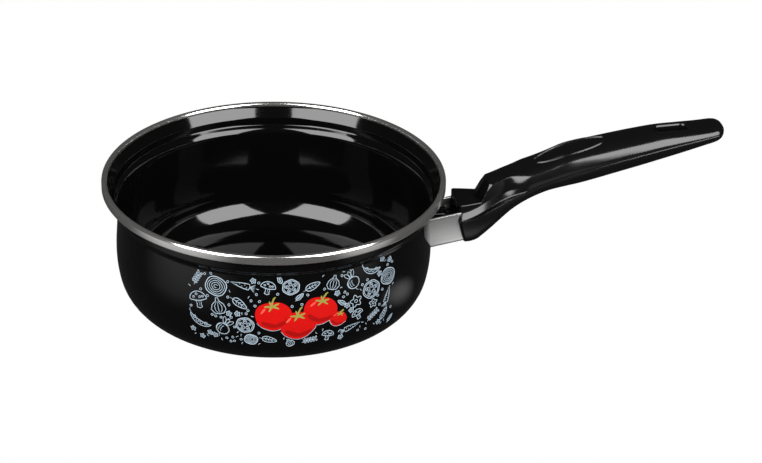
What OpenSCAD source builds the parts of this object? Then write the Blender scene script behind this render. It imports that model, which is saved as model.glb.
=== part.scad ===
// A one-handled enamel saucepan: a drawn steel bowl with a bright rolled rim, a welded bracket in
// a bright channel, and a moulded grip held by one screw from below.
// The origin is the middle of the base, on the surface that it stands on. The handle points along +X.

/* [Bowl] */
// Radius of the widest part of the belly, outside
belly_r = 86.7; // [80:0.1:94]
// Height of the widest part of the belly
belly_h = 32; // [28:0.5:40]
// Outer radius of the rounded edge round the base
corner_round = 22.2; // [14:0.1:26]
// Slope of the wall between that edge and the belly, in degrees
low_slope = 12; // [9:0.5:15]
// Radius of the belly's curve above its widest part
belly_high_round = 110; // [60:1:130]
// Thickness of the enamelled steel
wall = 1; // [0.7:0.1:1.2]
// How far the wall draws in from the belly to the waist
waist_in = 1.7; // [1.2:0.1:3]
// Height of the waist over the widest part of the belly
waist_rise = 27.4; // [22:0.1:40]
// Rounding of the waist
waist_round = 5; // [3:0.5:6]
// Width of the lid seat's sloping ledge
ledge_out = 3.2; // [2.8:0.1:3.8]
// Height of the lid seat's sloping ledge
ledge_rise = 3; // [2.6:0.1:3.6]
// Height of the lid seat's upright wall
seat_depth = 4.2; // [3.4:0.1:8]
// Width of the flare over the lid seat
flare_out = 3.7; // [3:0.1:4.4]
// Height of the flare over the lid seat
flare_rise = 5.2; // [4.4:0.1:6]
// Height of the upright collar between the flare and the top of the fold
collar_rise = 2.2; // [1.8:0.1:3]
// Rounding of the lid seat and of the flare
step_round = 1.4; // [1.1:0.1:1.7]
// Gap inside the fold
hem_gap = 0.3; // [0.2:0.05:0.5]
// Length of the fold's turned-down leg
hem_drop = 3.7; // [3:0.1:4.4]

/* [Rim band] */
// Thickness of the rim's stainless strip
band_sheet = 0.4; // [0.3:0.05:0.5]
// Gap between the end of the rim's inner leg and the rounded top of the flare
band_leg_gap = 0.1; // [0.05:0.05:0.4]
// Length of the rim's leg outside the bowl, past the fold's end
band_overlap = 0.8; // [0.6:0.1:1]
// How far the outer leg's lip turns in under the fold
band_lip = 0.7; // [0.4:0.1:0.9]

/* [Bracket] */
// Thickness of the bracket's steel
bracket_sheet = 2; // [1.6:0.1:2.4]
// Room between the weld plate and the hem of each cheek of the guard
plate_gap = 0.8; // [0.4:0.1:2]
// Height of the weld plate's lower edge over the guard's floor
plate_over = 2; // [1:0.1:5]
// Height of the bracket's bent top over the guard's cheeks, at the bowl
bend_over = 0.9; // [0.4:0.1:1.6]
// How far the bracket's bend stands out from the bowl
bend_reach = 10.5; // [8:0.5:12]
// Outer radius of the bracket's bend
bend_round = 4; // [3:0.1:5]
// How much narrower the tongue is than the weld plate, on each side
tongue_inset = 2; // [1:0.1:2.4]
// How far the tongue runs past the screw
tongue_past = 10.4; // [7:0.1:12]

/* [Flame guard] */
// Width of the guard, outside
guard_w = 22; // [18:0.5:26]
// Height of the guard's cheeks
guard_h = 17.9; // [15:0.1:20]
// Thickness of the guard's stainless sheet
guard_sheet = 0.8; // [0.6:0.1:1]
// Depth of the hem along the top of each cheek
guard_hem = 2.2; // [1.8:0.1:3]
// Length of the guard between the bowl and the grip
guard_reach = 14.7; // [12.5:0.1:24]
// Height of the guard's middle line over the widest part of the belly, at the bowl
guard_over = 4.5; // [2:0.1:8]
// Angle at which the guard, tongue and socket rise from the bowl
rise = 10; // [7:0.5:12]
// How far the guard's end sits in the grip
guard_seat = 3; // [2:0.2:3.6]

/* [Grip] */
// Length of the grip along the pan's radius
grip_len = 150; // [125:0.5:175]
// How far the widest part of the grip stands out past the guard, on each side
grip_side = 2.4; // [2:0.1:5]
// How much taller the grip's front block is than the guard
block_extra = 9.1; // [8:0.1:13]
// Height of the moulding's parting line over the middle of the socket, at the front
parting_lift = 4.3; // [3:0.1:4.8]
// Thickness of the moulding over the guard, where the front block's roof is flat
roof_wall = 4.6; // [3.6:0.1:6]
// How far the parting line climbs from the front to the end
grip_climb = 42.6; // [30:0.1:52]
// Lean of the grip's front face under the parting line, in degrees
face_lean = 14; // [8:0.5:16]
// Distance from the front face to the foot of the raised back's prow
prow_run = 11.1; // [9:0.1:14]
// Angle by which each of the prow's two front facets is turned to its side, in degrees
prow_turn = 14; // [6:1:24]
// How far the front facets lean back, in degrees
prow_lean = 26; // [20:1:36]
// Angle by which each facet at the prow's corners is turned to its side, in degrees
prow_corner_turn = 52; // [44:1:62]
// How far the corner facets lean back, in degrees
prow_corner_lean = 32; // [26:1:38]
// Distance of the corner facets from the tip of the prow's foot
prow_corner_out = 5.8; // [4.8:0.1:8]
// Length of the thumb recess
thumb_len = 40; // [32:0.5:48]
// Width of the thumb recess
thumb_w = 14; // [11:0.5:16]
// Depth of the thumb recess under a straight line between its ends
thumb_dish = 0.65; // [0.4:0.05:1]
// Distance from the front face to the middle of the thumb recess
thumb_at = 63.6; // [56:0.1:74]
// Length of the hanging slot
slot_len = 20; // [14:0.5:24]
// Width of the hanging slot
slot_w = 8.6; // [6:0.2:10]
// Distance from the hanging slot to the tip of the grip
slot_end = 19.5; // [14:0.5:26]

/* [Fastening] */
// Diameter of the machine screw
screw_d = 5; // [4:0.5:5.5]
// Diameter of the screw's head
screw_head_d = 9.2; // [8.4:0.1:11]
// Height of the screw's head
screw_head_h = 3; // [2.4:0.1:3.6]
// Distance from the front face to the screw's axis
screw_at = 10.4; // [9.2:0.1:12]
// Thickness of the moulding between the washer and the tongue
screw_web = 3.4; // [2.6:0.1:4]
// Width across the nut's flats
nut_w = 8; // [7.6:0.1:9]
// Thickness of the nut
nut_h = 2.7; // [2.4:0.1:3.2]
// How much smaller the split washer's rim is than the screw's head
washer_inset = 0.2; // [0.1:0.1:0.6]
// Thickness of the split washer
washer_h = 1.2; // [1:0.1:1.4]
// Width of the washer's split
washer_split = 1; // [0.6:0.1:1.4]

/* [Clearances] */
// Room round a piece in its socket
fit = 0.2; // [0.1:0.05:0.25]
// Room round the screw in its holes
drill_fit = 0.2; // [0.1:0.05:0.3]
// Room between pieces that are rolled or cut to each other
rolled_fit = 0.03; // [0.02:0.01:0.05]

/* [Hidden] */
// Cuts run past a face by this much
overrun = 5;

// Curves in a plane
function unit(v) = v / norm(v);
function right_of(a, b) = let (d = unit(b - a)) [d[1], -d[0]];
function turned(v, a) = [v[0] * cos(a) - v[1] * sin(a), v[0] * sin(a) + v[1] * cos(a)];
// A path moved sideways by s, to its right
function beside(p, s) = [for (i = [0:len(p) - 1])
    let (before = right_of(p[max(i - 1, 0)], p[max(i, 1)]),
         after = right_of(p[min(i, len(p) - 2)], p[min(i + 1, len(p) - 1)]))
    p[i] + s * (before + after) / (1 + before * after)];
// Which way a path turns at a corner: 1 to the left, -1 to the right
function bend(a, b, c) = cross(b - a, c - b) < 0 ? -1 : 1;
function corner(a, b, c, r, steps) =
    let (side = bend(a, b, c), angle = acos(unit(b - a) * unit(c - b)),
         start = b - unit(b - a) * r * tan(angle / 2), centre = start - side * r * right_of(a, b))
    [for (k = [0:steps]) centre + turned(start - centre, side * angle * k / steps)];
// A path with its corners rounded: r holds a radius for each of its points
function rounded(p, r, steps) = [for (i = [0:len(p) - 1])
    each (i == 0 || i == len(p) - 1 || r[i] == 0 ? [p[i]]
        : corner(p[i - 1], p[i], p[i + 1], r[i], steps))];
// The other face of a bent sheet keeps the centres of its bends
function radii_beside(p, r, s) = [for (i = [0:len(p) - 1])
    i == 0 || i == len(p) - 1 ? 0 : r[i] + s * bend(p[i - 1], p[i], p[i + 1])];
function reversed(p) = [for (i = [len(p) - 1:-1:0]) p[i]];
// The outline of a sheet of thickness t that lies to the right of a path
function sheet(p, r, t, steps = 6) =
    concat(rounded(p, r, steps), reversed(rounded(beside(p, t), radii_beside(p, r, t), steps)));

// Bowl: its path runs on the food's side, from the middle of the base to the end of the fold.
// The lower belly curve runs down to just over the rounded edge of the base.
low_round_share = 0.995;
low_round = low_round_share * (belly_h - corner_round * (1 - sin(low_slope))) / sin(low_slope);
foot_r = belly_r - (belly_h - low_round * tan(low_slope / 2)) * tan(low_slope);
waist_r = belly_r - wall - waist_in;
waist_h = belly_h + waist_rise;
seat_r = waist_r + ledge_out;
seat_h = waist_h + ledge_rise;
flare_h = seat_h + seat_depth;
collar_r = seat_r + flare_out;
collar_h = flare_h + flare_rise;
hem_top = collar_h + collar_rise;
// The upper belly curve is no larger than the wall above it allows
high_round_limit_share = 0.9;
high_round = min(belly_high_round,
    high_round_limit_share * (waist_rise * waist_rise / waist_in + waist_in) / 2);
high_width = 2 * (high_round - wall) - waist_in;
high_slope = 2 * atan((waist_rise - sqrt(waist_rise * waist_rise - high_width * waist_in)) / high_width);
// The fold's bend is a little rounder than the sheet is thick
hem_w = 2 * wall + hem_gap;
hem_bend_share = 0.33;
hem_bend = hem_bend_share * hem_gap;
bowl_path = [[0, wall], [foot_r - wall * (1 - sin(low_slope)) / cos(low_slope), wall],
    [belly_r - wall, belly_h - (low_round - wall) * tan(low_slope / 2)],
    [belly_r - wall, belly_h + (high_round - wall) * tan(high_slope / 2)], [waist_r, waist_h],
    [seat_r, seat_h], [seat_r, flare_h], [collar_r, collar_h], [collar_r, hem_top],
    [collar_r + hem_w, hem_top], [collar_r + hem_w, hem_top - hem_drop]];
bowl_radii = [0, corner_round - wall, low_round - wall, high_round - wall, waist_round, step_round,
    step_round, step_round, wall + hem_bend, wall + hem_bend, 0];
bowl_steps = 8;
// The bowl's wall alone, from the base to the collar
wall_points = len(bowl_path) - 2;
wall_path = [for (i = [0:wall_points - 1]) bowl_path[i]];
function fire_side(s) = rounded(beside(wall_path, s), radii_beside(wall_path, bowl_radii, s), bowl_steps);

// Rim band: it lies on the fold's outside, from the bowl's inside over the top to its lip
band_bottom = hem_top - hem_drop - band_overlap;
flare_angle = atan(flare_out / flare_rise);
leg_bottom = collar_h + step_round * tan(flare_angle / 2) + band_leg_gap;
band_path = beside([[collar_r, leg_bottom], [collar_r, hem_top],
    [collar_r + hem_w, hem_top], [collar_r + hem_w, band_bottom + band_sheet + rolled_fit],
    [collar_r + hem_w - band_lip, band_bottom + band_sheet + rolled_fit]], -band_sheet - rolled_fit);
band_round = wall + hem_bend + band_sheet + rolled_fit;
band_lip_round = band_sheet + rolled_fit;
band_radii = [0, band_round, band_round, band_lip_round, 0];

// Bracket, guard and tongue lie along one line that rises from the belly
grip_start = belly_r + guard_reach;
guard_mid_h = belly_h + guard_over;
function line_h(x) = guard_mid_h + (x - belly_r) * tan(rise);
socket_depth = screw_at + tongue_past + fit;
tongue_end = grip_start + socket_depth - fit;
screw_x = grip_start + screw_at;
guard_hem_w = 2 * guard_sheet + hem_bend;
plate_w = guard_w - 2 * (guard_hem_w + plate_gap);
tongue_w = plate_w - 2 * tongue_inset;

module bowl_wall_ring(t) {
    polygon(concat(fire_side(wall), reversed(fire_side(wall + t))));
}

module pan_shell() {
    color([0.03, 0.03, 0.03]) rotate_extrude($fn = 180)
        polygon(sheet(bowl_path, bowl_radii, wall, bowl_steps));
}

module rim_band() {
    color([0.78, 0.77, 0.75]) rotate_extrude($fn = 180) polygon(sheet(band_path, band_radii, band_sheet));
}

// The weld plate follows the belly, its top bends out and down, and the tongue runs on from there.
// The bends take no more than their shares of the leg between them.
bend_shares = [0.6, 0.3];
module handle_bracket() {
    half_turn = asin(plate_w / 2 / belly_r);
    plate_low = guard_mid_h - (guard_h / 2 - guard_sheet) / cos(rise) + plate_over;
    plate_top = guard_mid_h + guard_h / 2 / cos(rise) + bend_over;
    tongue_top = bracket_sheet / 2 / cos(rise);
    knee_x = belly_r + bend_reach;
    leg = plate_top - line_h(knee_x) - tongue_top;
    root = [[belly_r, plate_top], [knee_x, plate_top], [knee_x, line_h(knee_x) + tongue_top],
        [tongue_end, line_h(tongue_end) + tongue_top]];
    radii = [0, min(bend_round, bend_shares[0] * leg), bend_shares[1] * leg, 0];
    color([0.04, 0.04, 0.04]) difference() {
        union() {
            intersection() {
                rotate([0, 0, -half_turn]) rotate_extrude(angle = 2 * half_turn, $fn = 180) intersection() {
                    bowl_wall_ring(bracket_sheet);
                    translate([0, plate_low]) square([belly_r + overrun, plate_top - plate_low]);
                }
                translate([0, -plate_w / 2, plate_low])
                    cube([belly_r + bracket_sheet + overrun, plate_w, plate_top - plate_low]);
            }
            translate([0, tongue_w / 2, 0]) rotate([90, 0, 0]) linear_extrude(tongue_w)
                polygon(sheet(root, radii, bracket_sheet));
        }
        on_line(screw_x) translate([0, 0, -overrun]) cylinder(r = screw_d / 2 + drill_fit, h = 2 * overrun, $fn = 48);
    }
}

// Moves a piece to a place on the rising line, with its Z square to the line
module on_line(x) {
    translate([x, 0, line_h(x)]) rotate([0, -rise, 0]) children();
}

// A channel, open at the top, with hemmed cheeks; its near end is cut to the belly
hem_flat_share = 0.02;
module flame_guard() {
    y = guard_w / 2;
    z = guard_h / 2;
    half = [[y - guard_hem_w, z - guard_hem], [y - guard_hem_w, z], [y, z], [y, -z]];
    other = [for (p = reversed(half)) [-p[0], p[1]]];
    hem_r = (1 - hem_flat_share) * guard_hem_w / 2;
    radii = [0, hem_r, hem_r, 2 * guard_sheet, 2 * guard_sheet, hem_r, hem_r, 0];
    length = (guard_reach + guard_seat) / cos(rise) + overrun;
    color([0.7, 0.7, 0.69]) difference() {
        on_line(belly_r) translate([-overrun, 0, 0]) rotate([90, 0, 90])
            linear_extrude(length) polygon(sheet(concat(half, other), radii, guard_sheet));
        rotate_extrude($fn = 180) polygon(concat(fire_side(wall + rolled_fit), [[0, hem_top]]));
    }
}

// Grip: each row holds a place along its length, the parting line's climb, the height over it, the
// depth under it and the half width, as shares, and the powers of the rounded oblong section there,
// over the parting line and under it
grip_shape_shares = [
    [0, 0, 1.252, 1.1, 0.985, 2.2, 4.5], [0.04, 0.023, 1.252, 1.155, 0.98, 2.2, 4.506],
    [0.08, 0.067, 1.185, 1.162, 0.97, 2.4, 4.416], [0.12, 0.132, 1.09, 1, 0.955, 2.4, 4.325],
    [0.16, 0.208, 0.985, 0.808, 0.945, 2.7, 4.044], [0.2, 0.287, 0.89, 0.642, 0.94, 3.1, 3.737],
    [0.25, 0.374, 0.79, 0.545, 0.95, 3.3, 3.43], [0.3, 0.457, 0.697, 0.561, 0.965, 3.126, 3.126],
    [0.34, 0.509, 0.7, 0.584, 0.984, 2.915, 2.915], [0.4, 0.576, 0.766, 0.681, 0.999, 2.806, 2.806],
    [0.46, 0.632, 0.754, 0.756, 1, 2.707, 2.707], [0.52, 0.685, 0.713, 0.785, 1, 2.556, 2.556],
    [0.6, 0.748, 0.675, 0.776, 0.981, 2.453, 2.453], [0.68, 0.807, 0.627, 0.749, 0.956, 2.401, 2.401],
    [0.76, 0.86, 0.572, 0.69, 0.904, 2.4, 2.4], [0.84, 0.909, 0.446, 0.612, 0.844, 2.4, 2.4],
    [0.92, 0.953, 0.342, 0.505, 0.769, 2.4, 2.4], [1, 1, 0.274, 0.415, 0.7, 2.4, 2.4]];
block_h = guard_h + block_extra;
grip_half_w = guard_w / 2 + grip_side;
roof_h = line_h(grip_start) + guard_h / 2 + roof_wall;
// A smooth curve through the rows of a table: u is the place and n the column
function row_of(t, u, i = 0) = i >= len(t) - 2 || u <= t[i + 1][0] ? i : row_of(t, u, i + 1);
function slope_at(t, n, i) = let (a = t[max(i - 1, 0)], b = t[min(i + 1, len(t) - 1)])
    (b[n] - a[n]) / (b[0] - a[0]);
function curve(t, u, n) = let (i = row_of(t, u), a = t[i], b = t[i + 1], w = b[0] - a[0], k = (u - a[0]) / w)
    (1 + 2 * k) * (1 - k) * (1 - k) * a[n] + k * (1 - k) * (1 - k) * w * slope_at(t, n, i)
    + k * k * (3 - 2 * k) * b[n] - k * k * (1 - k) * w * slope_at(t, n, i + 1);
function parting_h(u) = line_h(grip_start) + parting_lift + grip_climb * curve(grip_shape_shares, u, 1);
function half_over(u) = block_h / 2 * curve(grip_shape_shares, u, 2);
function half_under(u) = block_h / 2 * curve(grip_shape_shares, u, 3);
function half_width(u) = grip_half_w * curve(grip_shape_shares, u, 4);
function power_over(u) = curve(grip_shape_shares, u, 5);
function power_under(u) = curve(grip_shape_shares, u, 6);
section_sides = 36;
// The front edge is rounded, its face leans, and the end closes in a round nose
front_edge_r = 2;
lean_len_share = 0.09;
nose_len = 8;
nose_power = 3;
// Rings of the grip run from the front edge to the nose: [distance, inset, scale]
fine_len_share = 0.19;
fine_rings = 15;
coarse_rings = 24;
nose_rings = 8;
fine_step = (fine_len_share * grip_len - front_edge_r) / fine_rings;
coarse_step = ((1 - fine_len_share) * grip_len - nose_len) / coarse_rings;
grip_rings = concat(
    [for (a = [0:30:90]) [front_edge_r * (1 - cos(a)), front_edge_r * (1 - sin(a)), 1]],
    [for (i = [1:fine_rings]) [front_edge_r + i * fine_step, 0, 1]],
    [for (i = [1:coarse_rings]) [fine_len_share * grip_len + i * coarse_step, 0, 1]],
    [for (i = [1:nose_rings]) let (w = sin(88 * i / nose_rings))
        [grip_len - nose_len * (1 - w), 0, pow(1 - pow(w, nose_power), 1 / nose_power)]]);
function signed_power(v, p) = sign(v) * pow(abs(v), p);
function oval_share(v, p) = pow(max(0, 1 - pow(min(1, v), p)), 1 / p);
function grip_ring(ring) = let (
    u = ring[0] / grip_len, half_w = half_width(u), width = (half_w - ring[1]) * ring[2],
    lean = tan(face_lean) * max(0, 1 - u / lean_len_share))
    [for (i = [0:section_sides - 1]) let (
        t = 360 * (i + 0.5) / section_sides,
        p = 2 / (t < 180 ? power_over(u) : power_under(u)),
        high = ((t < 180 ? half_over(u) : half_under(u)) - ring[1]) * ring[2] * signed_power(sin(t), p))
        [grip_start + ring[0] + max(0, -high) * lean, width * signed_power(cos(t), p), parting_h(u) + high]];

module grip_body() {
    points = [for (ring = grip_rings) each grip_ring(ring)];
    n = section_sides;
    last = len(grip_rings) - 1;
    polyhedron(points, concat(
        [[for (i = [0:n - 1]) i]],
        [for (k = [0:last - 1], i = [0:n - 1]) each [
            [k * n + i, k * n + n + i, k * n + (i + 1) % n],
            [k * n + (i + 1) % n, k * n + n + i, k * n + n + (i + 1) % n]]],
        [[for (i = [n - 1:-1:0]) last * n + i]]));
}

module handle_grip() {
    color([0.05, 0.05, 0.05]) difference() {
        grip_body();
        block_notch();
        tongue_socket();
        screw_cuts();
        thumb_cut();
        hanging_slot();
    }
}

// The notch over the front block: its floor is the block's flat roof, and the raised back's prow
// stands at its end. The prow has flat facets; out is a facet's distance from the tip of its foot.
module behind_facet(turn, lean, out) {
    size = 2 * grip_len;
    translate([grip_start + prow_run, 0, roof_h]) rotate([0, lean - 90, turn])
        translate([-size / 2, -size / 2, out - size]) cube(size);
}

module block_notch() {
    difference() {
        translate([grip_start - overrun, -block_h, roof_h]) cube([grip_len / 2, 2 * block_h, block_h]);
        intersection_for(side = [-1, 1]) intersection() {
            behind_facet(side * prow_turn, prow_lean, 0);
            behind_facet(side * prow_corner_turn, prow_corner_lean, prow_corner_out);
        }
    }
}

// The guard's end seats in a shallow pocket, and the tongue in a slot behind it
module tongue_socket() {
    on_line(grip_start) {
        translate([-overrun, -guard_w / 2 - fit, -guard_h / 2 - fit])
            cube([overrun + guard_seat / cos(rise) + fit, guard_w + 2 * fit, guard_h + 2 * fit]);
        translate([-overrun, -tongue_w / 2 - fit, -bracket_sheet / 2 - fit])
            cube([overrun + socket_depth / cos(rise), tongue_w + 2 * fit, bracket_sheet + 2 * fit]);
        translate([-overrun, -nut_w / 2 - fit, 0])
            cube([overrun + screw_at / cos(rise) + nut_w / 2 + fit, nut_w + 2 * fit,
                bracket_sheet / 2 + nut_h + fit]);
    }
}

// Heights along the screw, from the middle of the tongue
web_low = -bracket_sheet / 2 - fit - screw_web;
washer_low = web_low - washer_h;
head_low = washer_low - screw_head_h;
nut_low = bracket_sheet / 2;
screw_tip = nut_low + nut_h + screw_d / 5;

module screw_cuts() {
    on_line(screw_x) {
        translate([0, 0, web_low - block_h]) cylinder(r = screw_head_d / 2 + 2 * fit, h = block_h, $fn = 64);
        translate([0, 0, web_low - overrun / 2])
            cylinder(r = screw_d / 2 + drill_fit, h = overrun / 2 + screw_tip + screw_d / 4 - web_low, $fn = 48);
    }
}

// A shallow dish sunk in the back: its ends and its sides come out on the back's surface
function back_h(x) = parting_h(x / grip_len) + half_over(x / grip_len);
thumb_turn_share = 1.4;
module thumb_cut() {
    u = thumb_at / grip_len;
    first = back_h(thumb_at - thumb_len / 2);
    last = back_h(thumb_at + thumb_len / 2);
    tilt = atan((last - first) / thumb_len);
    chord = thumb_len / cos(tilt);
    sunk = back_h(thumb_at) - (first + last) / 2 + thumb_dish;
    side_drop = half_over(u) * (1 - oval_share(thumb_w / 2 / half_width(u), power_over(u)));
    side_dish = sunk * cos(tilt) - side_drop;
    long_r = chord * chord / 8 / thumb_dish + thumb_dish / 2;
    cross_r = thumb_w * thumb_w / 8 / side_dish + side_dish / 2;
    half_turn = thumb_turn_share * asin(chord / 2 / long_r);
    translate([grip_start + thumb_at, 0, back_h(thumb_at) - sunk]) rotate([0, -tilt, 0])
        translate([0, 0, long_r]) rotate([90, 0, 0]) rotate([0, 0, -90 - half_turn])
            rotate_extrude(angle = 2 * half_turn, $fn = 180)
                translate([long_r - cross_r, 0]) circle(r = cross_r, $fn = 64);
}

module hanging_slot() {
    half = (slot_len - slot_w) / 2;
    x = grip_len - slot_end - slot_len / 2;
    translate([grip_start + x, 0, parting_h(x / grip_len) - block_h]) linear_extrude(2 * block_h) {
        for (side = [-1, 1]) translate([side * half, 0]) circle(r = slot_w / 2, $fn = 48);
        translate([-half, -slot_w / 2]) square([2 * half, slot_w]);
    }
}

// The screw comes up from below, through the moulding and the tongue, into the nut
module handle_screw() {
    slot = screw_d / 5;
    color([0.72, 0.72, 0.7]) on_line(screw_x) difference() {
        union() {
            translate([0, 0, head_low]) cylinder(r = screw_head_d / 2, h = screw_head_h, $fn = 64);
            translate([0, 0, washer_low]) cylinder(r = screw_d / 2, h = screw_tip - washer_low, $fn = 48);
        }
        for (turn = [0, 90]) rotate([0, 0, turn]) translate([-screw_head_d / 3, -slot / 2, head_low - overrun])
            cube([2 * screw_head_d / 3, slot, overrun + screw_head_h * 2 / 3]);
    }
}

module spring_washer() {
    washer_d = screw_head_d - 2 * washer_inset;
    color([0.6, 0.6, 0.58]) on_line(screw_x) translate([0, 0, washer_low]) difference() {
        cylinder(r = washer_d / 2, h = washer_h, $fn = 64);
        translate([0, 0, -overrun]) cylinder(r = screw_d / 2 + drill_fit, h = 2 * overrun, $fn = 48);
        rotate([0, 0, 30]) translate([0, -washer_split / 2, -overrun])
            cube([washer_d, washer_split, 2 * overrun]);
    }
}

module square_nut() {
    color([0.62, 0.6, 0.56]) on_line(screw_x) translate([-nut_w / 2, -nut_w / 2, nut_low]) difference() {
        cube([nut_w, nut_w, nut_h]);
        translate([nut_w / 2, nut_w / 2, -overrun])
            cylinder(r = screw_d / 2 + rolled_fit, h = 2 * overrun, $fn = 48);
    }
}

pan_shell();
rim_band();
handle_bracket();
flame_guard();
handle_grip();
handle_screw();
spring_washer();
square_nut();
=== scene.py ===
# %% [markdown]
# # Enamel saucepan: the looks
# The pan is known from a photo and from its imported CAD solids. A render could use those solids as
# they are, but their facets would show in the gloss. So this notebook builds each visible piece
# again as a smooth mesh in the same place, prints a design on the belly and sets the photo's
# camera and light. Helpers work in millimetres, and the scene is in metres.

# %% Frame
import bmesh, bpy
import numpy as np
from math import (acos, asin, atan, atan2, ceil, copysign, cos, degrees, dist, hypot, pi, radians,
                  sin, sqrt, tan, tanh)
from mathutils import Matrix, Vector


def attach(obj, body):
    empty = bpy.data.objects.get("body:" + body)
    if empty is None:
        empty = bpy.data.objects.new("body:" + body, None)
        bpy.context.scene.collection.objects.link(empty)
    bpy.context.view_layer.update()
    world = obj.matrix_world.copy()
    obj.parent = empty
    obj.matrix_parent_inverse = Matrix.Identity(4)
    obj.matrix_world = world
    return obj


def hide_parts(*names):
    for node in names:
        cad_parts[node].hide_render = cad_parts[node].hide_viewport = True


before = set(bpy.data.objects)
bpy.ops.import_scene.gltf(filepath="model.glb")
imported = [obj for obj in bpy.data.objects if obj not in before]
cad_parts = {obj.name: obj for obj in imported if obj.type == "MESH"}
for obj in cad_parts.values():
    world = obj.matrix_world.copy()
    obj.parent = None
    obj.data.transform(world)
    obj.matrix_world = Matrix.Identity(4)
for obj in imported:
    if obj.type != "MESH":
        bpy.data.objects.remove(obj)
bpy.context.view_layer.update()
print("nodes:", sorted(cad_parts))

# %% [markdown]
# ## Sizes
# Every piece of the pan follows from a few lengths: the belly, the waist, the seat for a lid, the
# rim and the line along which the handle rises. They could be measured on the CAD nodes. Writing
# them here by name is easier to follow, and the values are the CAD source's own, so each mesh
# lands on its node.

# %% Sizes in millimetres
BELLY_R, BELLY_H, WALL = 86.7, 32.0, 1.0
CORNER, LOW_SLOPE, HIGH_ROUND = 22.2, radians(12), 110.0
WAIST_R, WAIST_H, WAIST_ROUND = 84.0, 59.4, 5
SEAT_R, SEAT_H, FLARE_H, STEP_ROUND = 87.2, 62.4, 66.6, 1.4
COLLAR_R, COLLAR_H, HEM_TOP, HEM_W, HEM_DROP, HEM_ROUND = 90.9, 71.8, 74.0, 2.3, 3.7, 1.1
GUARD_W, GUARD_H, SHEET, GUARD_HEM = 22.0, 17.9, 0.8, 2.2
RISE = radians(10)
GRIP_X, GRIP_LEN, SCREW_AT = 101.4, 150.0, 10.4
LINE_0 = BELLY_H + 4.5
CLEAR = 0.03  # what a skin stands off its neighbour, so that the two don't flicker


def line_h(x):
    """Height of the handle's rising line."""
    return LINE_0 + (x - BELLY_R) * tan(RISE)


print("bowl", 2 * (COLLAR_R + HEM_W), "mm across,", HEM_TOP, "mm high")

# %% [markdown]
# ## Outlines with rounded corners
# A pressed sheet has a bend at each corner. Blender could bevel the corners of a finished mesh,
# but a bevel doesn't know the sheet's thickness. Here the corners are rounded in the outline,
# before it becomes a mesh: an arc of the bend's radius takes the place of each corner.

# %% Arcs at the corners
def rounded(path, radii, steps=10):
    """The path with each corner replaced by an arc of its radius."""
    out = [np.array(path[0], float)]
    for a, b, c, r in zip(path, path[1:], path[2:], radii[1:]):
        a, b, c = (np.array(v, float) for v in (a, b, c))
        u, v = (a - b) / np.linalg.norm(a - b), (c - b) / np.linalg.norm(c - b)
        turn = pi - acos(np.clip(u @ v, -1, 1))
        if r < 1e-4 or turn < 1e-4:
            out.append(b)
            continue
        d = r * tan(turn / 2)
        centre = b + (u + v) / np.linalg.norm(u + v) * r / cos(turn / 2)
        p, q = b + u * d - centre, b + v * d - centre
        for k in range(steps + 1):
            w = k / steps
            m = (sin((1 - w) * turn) * p + sin(w * turn) * q) / sin(turn)
            out.append(centre + m)
    out.append(np.array(path[-1], float))
    return out

# %% [markdown]
# A sheet also has a second side. Moving the outline sideways and changing each bend by the
# thickness keeps both arcs on one middle, so the sheet is equally thick all along, as a real one
# is.

# %% Second side of a sheet
def beside(path, s):
    """The path moved sideways by s, to the right of its direction."""
    out = []
    for i, p in enumerate(path):
        d = [np.array(path[j + 1], float) - path[j]
             for j in (i - 1, i) if 0 <= j < len(path) - 1]
        n = [np.array([v[1], -v[0]]) / np.linalg.norm(v) for v in d]
        m = n[0] if len(n) == 1 else (n[0] + n[1]) / (1 + n[0] @ n[1])
        out.append(np.array(p, float) + s * m)
    return out


def radii_beside(path, radii, s):
    """The corners' radii on the moved path."""
    out = list(radii)
    for i in range(1, len(path) - 1):
        a = np.array(path[i], float) - path[i - 1]
        b = np.array(path[i + 1], float) - path[i]
        left = a[0] * b[1] - a[1] * b[0] > 0
        out[i] = max(0, radii[i] + (s if left else -s)) if radii[i] else 0
    return out


def sheet(path, radii, t, steps=10):
    """A closed outline: the path, and back along its side at distance t."""
    first = rounded(path, radii, steps)
    second = rounded(beside(path, t), radii_beside(path, radii, t), steps)
    return first + second[::-1]

# %% [markdown]
# ## Meshes from rings
# Turned, bent and lofted pieces are all rings of points with faces between them. They could be
# drawn with curves and modifiers. Plain lists of points say exactly where each ring lies, so these
# helpers make the faces, close the ends and smooth what isn't a sharp edge.

# %% Faces between rings
def strip(rows, n, closed_rows=False):
    """Quads between consecutive rings of n points each."""
    faces = []
    last = rows if closed_rows else rows - 1
    for k in range(last):
        a, b = k * n, ((k + 1) % rows) * n
        faces += [(a + i, a + (i + 1) % n, b + (i + 1) % n, b + i) for i in range(n)]
    return faces


def tube(rows, n):
    """The faces between rings and a flat face at both ends."""
    return strip(rows, n) + [tuple(range(n - 1, -1, -1)), tuple(range((rows - 1) * n, rows * n))]

# %% A mesh object
def add(name, verts, faces, material=None, smooth=40):
    """A finished mesh object in metres, smooth but for edges sharper than the angle."""
    mesh = bpy.data.meshes.new(name)
    points = (np.asarray(verts, float) / 1000).tolist()
    mesh.from_pydata(points, [], [list(map(int, f)) for f in faces])
    mesh.validate()
    for p in mesh.polygons:
        p.use_smooth = True
    mesh.set_sharp_from_angle(angle=radians(smooth))
    obj = bpy.data.objects.new(name, mesh)
    bpy.context.collection.objects.link(obj)
    if material:
        mesh.materials.append(material)
    return obj


def show(obj):
    """Prints what was made."""
    print(obj.name, len(obj.data.polygons), "faces")
    return obj

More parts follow.
